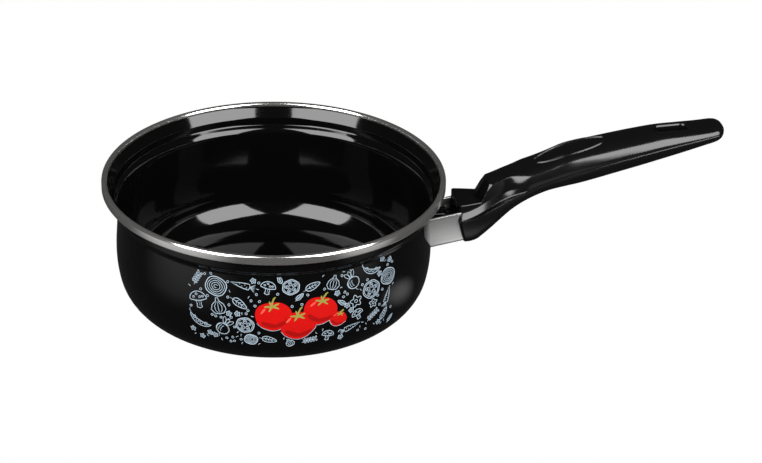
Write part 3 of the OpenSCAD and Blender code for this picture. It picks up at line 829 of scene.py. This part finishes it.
def near_end(y, z, clearance):
    """Where a line of the channel meets the belly."""
    x = 0.0
    for _ in range(30):
        px, _, pz = on_line(x, y, z)
        r = wall_r(pz) + clearance
        x += (sqrt(max(0, r * r - y * y)) - px) / cos(RISE)
    return x


print("the line meets the belly at", [round(v, 1) for v in on_line(0, 0, 0)])

# %% Channel's outline
def densify(points, longest):
    """The points with others between them, none further apart."""
    out = []
    for a, b in zip(points, points[1:]):
        n = max(1, ceil(np.linalg.norm(b - a) / longest))
        out += [a + (b - a) * k / n for k in range(n)]
    return out + [points[-1]]


FOLD_GAP, GUARD_BEND, IN_BLOCK = 0.099, 1.6, 3
hem_w = 2 * SHEET + FOLD_GAP
gy, gz = GUARD_W / 2, GUARD_H / 2
half = [(gy - hem_w, gz - GUARD_HEM), (gy - hem_w, gz), (gy, gz), (gy, -gz)]
hem_r = 0.98 * hem_w / 2
bends = [0, hem_r, hem_r, GUARD_BEND]
channel = sheet(half + [(-y, z) for y, z in half[::-1]], bends + bends[::-1], SHEET, 8)
channel = densify(channel + channel[:1], 1.2)[:-1]
print(len(channel), "points round the channel")

# %% Channel
far = (GRIP_X - BELLY_R + IN_BLOCK) / cos(RISE)
steps, verts = 24, []
for k in range(steps + 1):
    for y, z in channel:
        a = near_end(y, z, CLEAR)
        verts.append(on_line(a + (far - a) * k / steps, y, z))
faces = [face[::-1] for face in tube(steps + 1, len(channel))]
guard = show(add("guard_channel", verts, faces, guard_steel, 35))
SLANT = 0.176  # about the slope of the rising line, so that the strip's lines run along it
layer = guard.data.uv_layers.new(name="lines")
for loop in guard.data.loops:
    x, y, z = guard.data.vertices[loop.vertex_index].co
    layer.data[loop.index].uv = (x, z - SLANT * x + abs(y))
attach(guard, "root")
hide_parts("flame_guard")

# %% [markdown]
# ## Bracket
# Inside the guard a steel bracket carries the grip. Its foot is a plate that is welded to the
# wall, so it has the wall's curve. A flat box would stand off at its sides. The plate is a grid of
# points laid on the wall at four depths, with round corners and a round outer edge.

# %% Plate's corners
PLATE_W, TONGUE_W, STEEL, PLATE_ROUND = 17.0, 13.0, 2.0, 2.2
plate_low = LINE_0 - (GUARD_H / 2 - SHEET) / cos(RISE) + 2
plate_top = LINE_0 + GUARD_H / 2 / cos(RISE) + 0.9


def rounded_box(y, z, hw, hh, r):
    """Pulls a point of a rectangle into its rounded corner."""
    cy, cz = max(abs(y) - (hw - r), 0), max(abs(z) - (hh - r), 0)
    d = hypot(cy, cz)
    k = r / d if d > r else 1
    return (copysign(min(abs(y), hw - r) + cy * k, y) if y else 0.0,
            copysign(min(abs(z), hh - r) + cz * k, z) if z else 0.0)


print("plate from", round(plate_low, 1), "to", round(plate_top, 1), "mm high")

# %% Plate's points
rows, cols, verts = 24, 28, []
mid_z, half_z = (plate_low + plate_top) / 2, (plate_top - plate_low) / 2
# Depth over the wall, and how far the edge is drawn in there
for depth, inset in ((0.05, 0.0), (1.3, 0.0), (1.75, 0.25), (1.98, 0.8)):
    for i in range(rows + 1):
        for j in range(cols + 1):
            y, z = rounded_box(PLATE_W * (j / cols - 0.5), 2 * half_z * (i / rows - 0.5),
                               PLATE_W / 2, half_z, PLATE_ROUND)
            y, z = y * (1 - inset / (PLATE_W / 2)), z * (1 - inset / half_z)
            r = wall_r(mid_z + z) + depth
            a = y / BELLY_R
            verts.append((r * cos(a), r * sin(a), mid_z + z))
print(len(verts), "points")

# %% Plate's faces
wide = cols + 1
per = (rows + 1) * wide
edge = [*range(wide), *(i * wide + cols for i in range(1, rows + 1)),
        *(rows * wide + j for j in range(cols - 1, -1, -1)),
        *(i * wide for i in range(rows - 1, 0, -1))]
faces = []
for base, flip in ((0, True), (3 * per, False)):
    for i in range(rows):
        for j in range(cols):
            a = base + i * wide + j
            face = (a, a + 1, a + wide + 1, a + wide)
            faces.append(face[::-1] if flip else face)
for level in range(3):
    a = level * per
    faces += [(a + p, a + q, a + per + q, a + per + p) for p, q in zip(edge, edge[1:] + edge[:1])]
plate = show(add("weld_plate", verts, faces, enamel, 60))

# %% [markdown]
# Over the plate's top the same steel bends down into a strap, which runs along inside the guard
# and ends as a tongue in the grip. It could be a curve with a bevel profile. A ring of points
# swept along the bent line does the same, and its corners keep their shape in the bends.

# %% Strap's bent line
KNEE, KNEE_ROUND, TONGUE_PAST = 10.5, 4, 10.4
knee, top_half = BELLY_R + KNEE, STEEL / 2 / cos(RISE)
leg = plate_top - line_h(knee) - top_half
tongue_end = GRIP_X + SCREW_AT + TONGUE_PAST
strap_path = [(BELLY_R + 0.6, plate_top), (knee, plate_top), (knee, line_h(knee) + top_half),
              (tongue_end, line_h(tongue_end) + top_half)]
strap_radii = [0, min(KNEE_ROUND, 0.6 * leg), 0.3 * leg, 0]
deep = STEEL / 2
middle = rounded(beside(strap_path, deep), radii_beside(strap_path, strap_radii, deep), 14)
centre_line = densify(middle, 2.0)
print(len(centre_line), "points along the strap")

# %% Strap
SIDE_POWER, FACE_POWER = 0.22, 0.3  # the smaller, the squarer the strap's edges
ring, m = [], 40
for k in range(m):
    a = 2 * pi * (k + 0.5) / m
    ring.append((TONGUE_W / 2 * copysign(abs(cos(a)) ** SIDE_POWER, cos(a)),
                 STEEL / 2 * copysign(abs(sin(a)) ** FACE_POWER, sin(a))))
verts, n = [], len(centre_line)
for i, p in enumerate(centre_line):
    d = centre_line[min(i + 1, n - 1)] - centre_line[max(i - 1, 0)]
    d /= np.linalg.norm(d)
    verts += [(p[0] - d[1] * w, y, p[1] + d[0] * w) for y, w in ring]
strap = show(add("bracket_strap", verts, tube(n, m), enamel, 50))
for piece in (plate, strap):
    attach(piece, "root")
    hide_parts("handle_bracket")

# %% [markdown]
# ## Grip
# The grip is moulded in two-part tooling. It starts as a block over the guard, thins to a neck,
# swells for the palm and tapers to a rounded end, and the joint of the mould runs along its side.
# It could be sculpted or subdivided from a box. A loft from a table is chosen, because the CAD
# solid uses the same table, so both have one form.

# %% Table of sections
# Place, climb, height over, depth under, half width, power over and power under, as shares
SHAPE = np.array([
    (0, 0, 1.252, 1.1, .985, 2.2, 4.5), (.04, .023, 1.252, 1.155, .98, 2.2, 4.506),
    (.08, .067, 1.185, 1.162, .97, 2.4, 4.416), (.12, .132, 1.09, 1, .955, 2.4, 4.325),
    (.16, .208, .985, .808, .945, 2.7, 4.044), (.2, .287, .89, .642, .94, 3.1, 3.737),
    (.25, .374, .79, .545, .95, 3.3, 3.43), (.3, .457, .697, .561, .965, 3.126, 3.126),
    (.34, .509, .7, .584, .984, 2.915, 2.915), (.4, .576, .766, .681, .999, 2.806, 2.806),
    (.46, .632, .754, .756, 1, 2.707, 2.707), (.52, .685, .713, .785, 1, 2.556, 2.556),
    (.6, .748, .675, .776, .981, 2.453, 2.453), (.68, .807, .627, .749, .956, 2.401, 2.401),
    (.76, .86, .572, .69, .904, 2.4, 2.4), (.84, .909, .446, .612, .844, 2.4, 2.4),
    (.92, .953, .342, .505, .769, 2.4, 2.4), (1, 1, .274, .415, .7, 2.4, 2.4)])
PLACE, CLIMB, OVER, UNDER, WIDE, POWER_OVER, POWER_UNDER = range(7)
LAST = len(SHAPE) - 1
slopes = np.array([(SHAPE[min(i + 1, LAST)] - SHAPE[max(i - 1, 0)])
                   / (SHAPE[min(i + 1, LAST), 0] - SHAPE[max(i - 1, 0), 0])
                   for i in range(LAST + 1)])
print(LAST + 1, "sections")

# %% Values between the sections
BLOCK, HALF_W, PART_UP, CLIMB_H = 27.0, 13.4, 4.3, 42.6


def curve(u, c):
    """A smooth curve through one column of the table."""
    i = int(np.clip(np.searchsorted(SHAPE[:, 0], u) - 1, 0, LAST - 1))
    w = SHAPE[i + 1, 0] - SHAPE[i, 0]
    k = (u - SHAPE[i, 0]) / w
    return ((1 + 2 * k) * (1 - k) ** 2 * SHAPE[i, c] + k * (1 - k) ** 2 * w * slopes[i, c]
            + k * k * (3 - 2 * k) * SHAPE[i + 1, c] - k * k * (1 - k) * w * slopes[i + 1, c])


def parting(u):
    """Height of the mould's joint at a share of the length."""
    return line_h(GRIP_X) + PART_UP + CLIMB_H * curve(u, CLIMB)


def over(u):
    """Height of the back over the joint."""
    return BLOCK / 2 * curve(u, OVER)


print("joint climbs", round(parting(1) - parting(0), 1), "mm")

# %% [markdown]
# A section is two rounded oblongs, one over the joint and one under it, with a small groove
# between them. In the photo a bright band lies along the block's side just over the joint. A side
# that faces straight out would mirror the dark room, so the side leans in there, as a mould's
# draft would have it, and mirrors the lit floor.

# %% A quarter of a section
QUARTER, GROOVE, GROOVE_IN = 44, 0.32, 0.28


def quarter(power, half_w, high):
    """A quarter of a rounded oblong from the side to the top, evenly spaced, above the groove."""
    t = np.linspace(0, pi / 2, 400)
    y, z = half_w * np.cos(t) ** (2 / power), high * np.sin(t) ** (2 / power)
    s = np.concatenate([[0], np.cumsum(np.hypot(np.diff(y), np.diff(z)))])
    at = np.linspace(0, s[-1], QUARTER + 1)
    y, z = np.interp(at, s, y), np.interp(at, s, z)
    return [(a, max(b, min(GROOVE, high) + 0.02 * k)) for k, (a, b) in enumerate(zip(y, z))]

# %% Leaning sides of the block
SKIRT_H, SKIRT_IN, SKIRT_TURN, SKIRT_END = 3.7, 0.3, 0.1, (0.15, 0.27)
SKIRT_LEAN, SKIRT_MOST, SKIRT_FROM, SKIRT_FADE = tan(radians(25)), 4, 0.4, 0.12


def skirt(u, y, z, half_w):
    """The front block's sides lean in just above the parting line."""
    w = float(np.clip((SKIRT_END[1] - u) / (SKIRT_END[1] - SKIRT_END[0]), 0, 1))
    w *= w * (3 - 2 * w) * min(1, max(0, (z - GROOVE) / SKIRT_FADE))
    back = SKIRT_TURN * u * GRIP_LEN + SKIRT_LEAN * (parting(u) - parting(0))
    limit = (half_w - SKIRT_IN - SKIRT_LEAN * min(max(z - SKIRT_FROM, 0), SKIRT_H)
             - SKIRT_MOST * tanh(back / SKIRT_MOST))
    return y + w * (min(y, limit) - y)

# %% A whole section
LEAN, LEAN_END = tan(radians(14)), 0.09


def grip_ring(x, inset, scale):
    """The section at x, drawn in by an inset or scaled at the rounded ends."""
    u = x / GRIP_LEN
    mid, half_w = parting(u), (HALF_W * curve(u, WIDE) - inset) * scale
    high = (over(u) - inset) * scale
    up = [(skirt(u, y, z, half_w), z) for y, z in quarter(curve(u, POWER_OVER), half_w, high)]
    deep = (BLOCK / 2 * curve(u, UNDER) - inset) * scale
    low = quarter(curve(u, POWER_UNDER), half_w, deep)
    lean = LEAN * max(0, 1 - u / LEAN_END)
    groove = half_w - GROOVE_IN * min(1, scale * 1.5)
    loop = [(groove, 0)] + up + [(-y, z) for y, z in up[-2::-1]] + [(-groove, 0)] \
        + [(-y, -z) for y, z in low] + [(y, -z) for y, z in low[-2::-1]]
    return [(GRIP_X + x + max(0, -z) * lean, y, mid + z) for y, z in loop]

# %% [markdown]
# The sections are set along the length: close together over the front edge's rounding, evenly over
# the body, and close together again over the nose. The front face is bent at the joint, so two
# flat faces close it.

# %% Loft
EDGE, NOSE, NOSE_RINGS = 2.0, 8.0, 22
stations = [(EDGE * (1 - cos(a)), EDGE * (1 - sin(a)), 1.0)
            for a in np.radians(np.arange(0, 91, 11.25))]
stations += [(x, 0, 1.0) for x in np.linspace(EDGE, GRIP_LEN - NOSE, 170)[1:]]
for k in range(1, NOSE_RINGS + 1):
    w = sin(radians(89 * k / NOSE_RINGS))
    stations.append((GRIP_LEN - NOSE * (1 - w), 0, (1 - w ** 3) ** (1 / 3)))
loops = [grip_ring(*station) for station in stations]
n, m = len(loops), len(loops[0])
faces = strip(n, m) + [tuple(range(m // 2, -1, -1)), (0,) + tuple(range(m - 1, m // 2 - 1, -1)),
                       tuple(range((n - 1) * m, n * m))]
grip = show(add("grip_body", [p for loop in loops for p in loop], faces, phenolic, 30))

# %% [markdown]
# ## Cuts in the grip
# The mould also forms a notch over the block, a recess for the thumb, a slot to hang the pan by,
# the guard's seat and the screw's hole. Each could be worked into the loft, but that would bend
# its clean rings. Booleans with simple tools keep each feature a step of its own, as a toolmaker
# adds them.

# %% Boolean helpers
def cut(target, cutter, operation="DIFFERENCE"):
    """Takes the cutter away from the target, or adds it, and removes it."""
    mod = target.modifiers.new("cut", "BOOLEAN")
    mod.operation, mod.object, mod.solver = operation, cutter, "EXACT"
    apply_modifiers(target)
    bpy.data.objects.remove(cutter)


def fix_normals(obj):
    """Turns all faces outwards."""
    bm = bmesh.new()
    bm.from_mesh(obj.data)
    bmesh.ops.recalc_face_normals(bm, faces=bm.faces)
    bm.to_mesh(obj.data)
    bm.free()

# %% [markdown]
# At the notch's end the raised back starts with a faceted prow that points at the bowl. Bevelling
# a box by hand gives such facets too. Here the prow is all that lies behind a few planes, and
# further planes between them round its edges, so each facet has its own angle to catch the light.

# %% Planes of the prow
ROOF = line_h(GRIP_X) + GUARD_H / 2 + 4.6
TIP = Vector((GRIP_X + 11.1, 0, ROOF))


def facet(turn, lean, out):
    """A plane of the prow: a point on it and its outward direction."""
    a, b = radians(turn), radians(lean)
    n = Vector((-cos(a) * cos(b), -sin(a) * cos(b), sin(b)))
    return TIP + n * out, n


def between(one, other, r, steps=3):
    """Planes that round the edge between two facets with a radius."""
    (p, n), (q, m) = one, other
    planes = []
    for k in range(1, steps + 1):
        d = n.slerp(m, k / (steps + 1))
        # The edge's cylinder touches both facets: its axis lies r behind each of them
        axis = p - n * r
        along = n.cross(m).normalized()
        side = along.cross(n)
        gap = (q - m * r - axis).dot(m) / side.dot(m)
        planes.append((axis + side * gap + d * r, d))
    return planes

# %% What lies behind the planes
def convex(name, planes, low, high):
    """The part of a box that lies behind all the planes."""
    bm = bmesh.new()
    bmesh.ops.create_cube(bm, size=2)
    for v in bm.verts:
        v.co = [h if c > 0 else l for c, l, h in zip(v.co, low, high)]
    for p, n in planes:
        bmesh.ops.bisect_plane(bm, geom=bm.verts[:] + bm.edges[:] + bm.faces[:],
                               plane_co=p, plane_no=n, clear_outer=True)
        bmesh.ops.holes_fill(bm, edges=[e for e in bm.edges if e.is_boundary])
    verts = [tuple(v.co) for v in bm.verts]
    bm.verts.index_update()
    faces = [[v.index for v in f.verts] for f in bm.faces]
    bm.free()
    return add(name, verts, faces)

# %% Notch and prow
SOFT = 1.2
BLOCK_FACES = [(0, 1, 3, 2), (4, 6, 7, 5), (0, 4, 5, 1), (2, 3, 7, 6), (0, 2, 6, 4), (1, 5, 7, 3)]


def block_verts(x0, x1, hy, z0, z1):
    """Corners of a box that is the same on both sides."""
    return [(x, y, z) for x in (x0, x1) for y in (-hy, hy) for z in (z0, z1)]


# Turn and lean of the front and the side facets in degrees, and their distance from the tip
FACETS = ((14, 26, 0), (52, 32, 5.8))
front, corner = ([facet(side * turn, lean, out) for side in (1, -1)] for turn, lean, out in FACETS)
planes = front + corner + between(*front, SOFT)
planes += between(front[0], corner[0], SOFT) + between(front[1], corner[1], SOFT)
# Both tools reach well past the grip on their free sides
prow = convex("prow", planes, (GRIP_X - 9, -40, ROOF - 9), (GRIP_X + 90, 40, 130))
notch = add("notch", block_verts(GRIP_X - 5, GRIP_X + 75, 20, ROOF, 110), BLOCK_FACES)
for o in (prow, notch, grip):
    fix_normals(o)
cut(notch, prow)
cut(grip, notch)
print("notch cut:", len(grip.data.polygons), "faces")

# %% [markdown]
# The thumb rests in a long shallow recess. A scaled sphere would leave a round edge that doesn't
# match the photo. A large ring, of which only the lowest part dips into the back, gives an even
# hollow whose length and width are both set.

# %% Recess's radii
def crown(x, y=0.0):
    """Height of the raised back at a place."""
    u = x / GRIP_LEN
    power, share = curve(u, POWER_OVER), abs(y) / (HALF_W * curve(u, WIDE))
    return parting(u) + over(u) * (1 - share ** power) ** (1 / power)


THUMB_LEN, THUMB_W, THUMB_DISH, THUMB_AT = 40.0, 14.0, 0.65, 63.6
first, last = crown(THUMB_AT - THUMB_LEN / 2), crown(THUMB_AT + THUMB_LEN / 2)
tilt = atan((last - first) / THUMB_LEN)
chord = THUMB_LEN / cos(tilt)
sunk = crown(THUMB_AT) - (first + last) / 2 + THUMB_DISH
side_dish = sunk * cos(tilt) - (crown(THUMB_AT) - crown(THUMB_AT, THUMB_W / 2))
long_r = chord ** 2 / 8 / THUMB_DISH + THUMB_DISH / 2
cross_r = THUMB_W ** 2 / 8 / side_dish + side_dish / 2
print("radii", round(long_r), "and", round(cross_r), "mm")

# %% Recess
turn = 1.4 * asin(chord / 2 / long_r)
verts, LONG_STEPS, CROSS_STEPS = [], 160, 96
c, s = cos(tilt), sin(tilt)
for i in range(LONG_STEPS + 1):
    a = -pi / 2 - turn + 2 * turn * i / LONG_STEPS
    for j in range(CROSS_STEPS):
        b = 2 * pi * j / CROSS_STEPS
        r = long_r - cross_r + cross_r * cos(b)
        px, pz = r * cos(a), r * sin(a) + long_r
        verts.append((GRIP_X + THUMB_AT + px * c - pz * s, cross_r * sin(b),
                      crown(THUMB_AT) - sunk + px * s + pz * c))
dish = add("dish", verts, tube(LONG_STEPS + 1, CROSS_STEPS))
for o in (grip, dish):
    fix_normals(o)
cut(grip, dish)
print("recess cut:", len(grip.data.polygons), "faces")

# %% [markdown]
# A fine raised edge follows each long side of the recess and shows as a bright line. A bevel of
# the cut's edge would be too even and run all round. A thin tapering bead joined to the back on
# each side is nearer to the photo.

# %% Raised edges
BEAD_R, BEAD_UP, BEAD_END, BEAD_TAPER, n = 0.5, 0.16, 0.15, 6, 10
sweep = np.radians(np.linspace(14, 166, 61))
for side in (-1, 1):
    verts = []
    for t in sweep:
        x, y = THUMB_AT + THUMB_LEN / 2 * cos(t), side * THUMB_W / 2 * sin(t)
        ends = [BEAD_END + BEAD_TAPER * sin(v) for v in (t - sweep[0], sweep[-1] - t)]
        r = BEAD_R * min(1, *ends)
        d = Vector((-THUMB_LEN / 2 * sin(t), side * THUMB_W / 2 * cos(t), 0)).normalized()
        away, up = Vector((d.y, -d.x, 0)), Vector((0, 0, 1))
        for a in (2 * pi * k / n for k in range(n)):
            q = Vector((GRIP_X + x, y, crown(x, y) + BEAD_UP))
            verts.append(tuple(q + r * (cos(a) * away + sin(a) * up)))
    bead = add("bead", verts, tube(len(sweep), n))
    fix_normals(bead)
    cut(grip, bead, "UNION")
print("edges joined:", len(grip.data.polygons), "faces")

# %% [markdown]
# The slot goes right through the grip, and its upper edge is well rounded so that a hook slides
# in. A bevel after the cut would fail on the curved back. So the tool itself opens like a trumpet
# just below the surface, and one cut makes the slot and its edge.

# %% Hanging slot
SLOT_LEN, SLOT_W, SLOT_AT, SLOT_EDGE, SLOT_IN = 20.0, 8.6, 120.5, 1.7, 0.5
UNDER_GRIP, OVER_GRIP, SINK = 50, 100, 0.05


def slot_ring(grow):
    """The slot's outline, wider by a growth all round."""
    out = []
    for side in (1, -1):
        for a in np.radians(np.linspace(-90, 90, 25)):
            r = SLOT_W / 2 + grow
            x = (SLOT_LEN - SLOT_W) / 2 + r * cos(a)
            out.append((SLOT_AT + side * x, side * r * sin(a)))
    return out


verts = [(GRIP_X + x, y, UNDER_GRIP) for x, y in slot_ring(-SLOT_IN)]
for t in np.radians(np.arange(0, 85, 12)):
    for x, y in slot_ring(SLOT_EDGE * (1 - cos(t)) - SLOT_IN):
        verts.append((GRIP_X + x, y, crown(x, y) - SLOT_EDGE * (1 - sin(t)) - SINK))
verts += [(GRIP_X + x, y, OVER_GRIP) for x, y in slot_ring(SLOT_EDGE * 1.1 - SLOT_IN)]
per = len(slot_ring(0))
slot_tool = add("slot_tool", verts, tube(len(verts) // per, per))
fix_normals(slot_tool)
cut(grip, slot_tool)
print("slot cut:", len(grip.data.polygons), "faces")

# %% [markdown]
# Under the block the guard's end sits in a shallow seat, the tongue in a deep one, and the screw
# comes up through a round hole. They are hidden, but the pieces in them would clash with a solid
# grip. Two boxes and a cylinder, turned along the rising line, cut them.

# %% Seat, tongue and screw hole
def along_line(verts):
    """Turns points to the rising line, from the grip's front."""
    c, s = cos(RISE), sin(RISE)
    z0 = line_h(GRIP_X)
    return [(GRIP_X + x * c - z * s, y, z0 + x * s + z * c) for x, y, z in verts]


def box_tool(name, deep, wide, high):
    """A box along the line with a little room all round, open to the front."""
    y, z = wide / 2 + ROOM, high / 2 + ROOM
    return add(name, along_line(block_verts(-4, deep, y, -z, z)), BLOCK_FACES)


ROOM, SEAT_END, TONGUE_END = 0.2, 0.25, 0.5
seat = box_tool("seat_tool", IN_BLOCK + SEAT_END, GUARD_W, GUARD_H)
tongue = box_tool("tongue_tool", SCREW_AT + TONGUE_PAST + TONGUE_END, TONGUE_W, STEEL)
HEAD_ROOM, WEB_LOW, HOLE_LOW, n = 4.8, -4.6, -40, 64
sx = SCREW_AT / cos(RISE)
verts = along_line([(sx + HEAD_ROOM * cos(t), HEAD_ROOM * sin(t), z)
                    for z in (HOLE_LOW, WEB_LOW) for t in np.linspace(0, 2 * pi, n + 1)[:-1]])
hole = add("hole_tool", verts, tube(2, n))
for tool in (seat, tongue, hole):
    fix_normals(tool)
    cut(grip, tool)
grip.data.set_sharp_from_angle(angle=radians(20))
show(grip)
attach(grip, "root")
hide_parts("handle_grip")

# %% [markdown]
# ## Fastening
# The screw, its spring washer and the square nut are plain zinc-plated parts inside the block.
# They could be rebuilt with threads, but nobody sees them, so their CAD nodes stay as they are and
# only take the zinc finish.

# %% Zinc on the fastening
for name in ("handle_screw", "spring_washer", "square_nut"):
    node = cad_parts[name]
    node.data.materials.clear()
    node.data.materials.append(zinc)
print("fasteners finished")

# %% [markdown]
# ## Camera
# The render has to lie on the photo. A camera placed by eye would be off by many pixels, so it was
# fitted to the rim's ellipse and the body's outline. The pan isn't in the middle of the photo, and
# turning the camera to it would change the perspective, so the lens is shifted instead.

# %% Camera of the photo
PHOTO_W, PHOTO_MID, FOCAL, SENSOR = 762, (381, 231.5), 2203.6, 36.0
AIM_AT, AIM_H, DISTANCE = (273.6, 176.8), 0.0725, 1.2
CAMERA_AZ, CAMERA_EL = -8, 26.97
cam = bpy.data.cameras.new("photo_camera")
cam.sensor_fit, cam.sensor_width = "HORIZONTAL", SENSOR
cam.lens = FOCAL / PHOTO_W * SENSOR
cam.shift_x = (PHOTO_MID[0] - AIM_AT[0]) / PHOTO_W
cam.clip_start, cam.clip_end = 0.05, 20
camera = bpy.data.objects.new("photo_camera", cam)
bpy.context.collection.objects.link(camera)
az, el = radians(CAMERA_AZ), radians(CAMERA_EL)
away = Vector((sin(az) * cos(el), -cos(az) * cos(el), sin(el)))
camera.location = Vector((0, 0, AIM_H)) + DISTANCE * away
pitch = el + atan((PHOTO_MID[1] - AIM_AT[1]) / FOCAL)
camera.rotation_euler = (pi / 2 - pitch, 0, az)
bpy.context.scene.camera = camera
bpy.context.scene.view_settings.view_transform = "Standard"
print("lens", round(cam.lens, 1), "mm")

# %% [markdown]
# ## Light
# Black gloss shows little of its own: what is seen is what it mirrors. The bowl shows two tall
# windows or soft boxes left and right of the camera, apart from each other. An environment picture
# could give them, but two area lights are enough. They lean towards the pan, so their reflections
# have the photo's shape.

# %% Two tall panels
AIM = Vector((0, 0, 0.02))  # the point that both panels face


def panel(name, azimuth, elevation, distance, w, h, strength, slide=0.0):
    """A leaning light whose lower edge is near the floor and that faces the pan."""
    data = bpy.data.lights.new(name, "AREA")
    data.shape, data.size, data.size_y = "RECTANGLE", w, h
    data.energy = strength * w * h * pi
    obj = bpy.data.objects.new(name, data)
    bpy.context.collection.objects.link(obj)
    a, e = radians(azimuth), radians(elevation)
    d = Vector((sin(a) * cos(e), -cos(a) * cos(e), sin(e)))
    up = Vector((-sin(a) * sin(e), cos(a) * sin(e), cos(e)))
    obj.location = AIM + distance * d + slide * up
    obj.rotation_euler = (pi / 2 - e, 0, a)
    obj.visible_camera = False
    return obj


SIDE = 44
for name, turn in (("left_panel", -SIDE), ("right_panel", SIDE)):
    panel(name, CAMERA_AZ + turn, elevation=39, distance=1.38, w=0.96, h=1.7, strength=8,
          slide=-0.25)
    print(name)

# %% [markdown]
# A studio photo has a white ground, but a white world would wash out all the black. So the world
# is white only to the camera. To a mirroring surface it is nearly black, and to all others a dim
# grey.

# %% Surround
world = bpy.data.worlds.new("surround")
bpy.context.scene.world = world
world.use_nodes = True
world.node_tree.nodes.clear()
link = world.node_tree.links.new
path, seen, dim, mirror, mixed, pick, end = new_nodes(
    world.node_tree, "LightPath", "Background", "Background", "Background", "MixShader",
    "MixShader", "OutputWorld")
for node, value in ((seen, 1), (dim, 0.3), (mirror, 0.02)):
    node.inputs["Color"].default_value = grey(value)
wire(link, (path, "Is Glossy Ray", mixed, 0), (dim, 0, mixed, 1), (mirror, 0, mixed, 2),
     (path, "Is Camera Ray", pick, 0), (mixed, 0, pick, 1), (seen, 0, pick, 2),
     (pick, 0, end, 0))
print("world:", world.name)

# %% [markdown]
# The floor works the same way. It is white to the camera, and what the enamel mirrors of it is
# darker: soft patches left and right of the bowl and a small one in front of the guard, where the
# photo shows the table's light in the steel. Real lights there would shine on the pan too. A patch
# is only a brighter place in the floor's glow.

# %% A patch of light
floor_mat = bpy.data.materials.new("floor")
floor_mat.use_nodes = True
tree = floor_mat.node_tree
tree.nodes.clear()
link = tree.links.new
path, white, glow, diffuse, pick, mixed, end, coord = new_nodes(
    tree, "LightPath", "Emission", "Emission", "BsdfDiffuse", "MixShader", "MixShader",
    "OutputMaterial", "TexCoord")
diffuse.inputs["Color"].default_value = grey(0.4)


def patch(x, y, inner, outer, value):
    """A soft round patch of light on the floor."""
    far, fall = new_nodes(tree, "VectorMath", "MapRange")
    far.operation = "DISTANCE"
    far.inputs[1].default_value = (x, y, -0.0005)
    fall.interpolation_type = "SMOOTHSTEP"
    for label, v in (("From Min", inner), ("From Max", outer), ("To Min", value), ("To Max", 0.0)):
        fall.inputs[label].default_value = v
    link(coord.outputs["Object"], far.inputs[0])
    link(far.outputs["Value"], fall.inputs["Value"])
    return fall.outputs[0]

# %% Floor
# Place on the floor, where the patch starts to fade and where it ends, and its glow
PATCHES = ((0.18, -0.19, 0.04, 0.1, 0.4), (-0.27, -0.15, 0.08, 0.19, 0.5),
           (0.117, -0.06, 0.004, 0.036, 0.7))
GLOW = 0.03  # of the floor away from the patches
total = None
for spot in [patch(*values) for values in PATCHES]:
    node, = new_nodes(tree, "Math")
    node.operation = "ADD"
    node.inputs[0].default_value = GLOW
    if total is not None:
        link(total, node.inputs[0])
    link(spot, node.inputs[1])
    total = node.outputs[0]
link(total, glow.inputs["Strength"])
wire(link, (path, "Is Glossy Ray", mixed, 0), (diffuse, 0, mixed, 1), (glow, 0, mixed, 2),
     (path, "Is Camera Ray", pick, 0), (mixed, 0, pick, 1), (white, 0, pick, 2),
     (pick, 0, end, 0))
FAR, LOW = 3000, -0.5
corners = [(-FAR, -FAR, LOW), (FAR, -FAR, LOW), (FAR, FAR, LOW), (-FAR, FAR, LOW)]
floor = show(add("floor", corners, [(0, 1, 2, 3)], floor_mat))
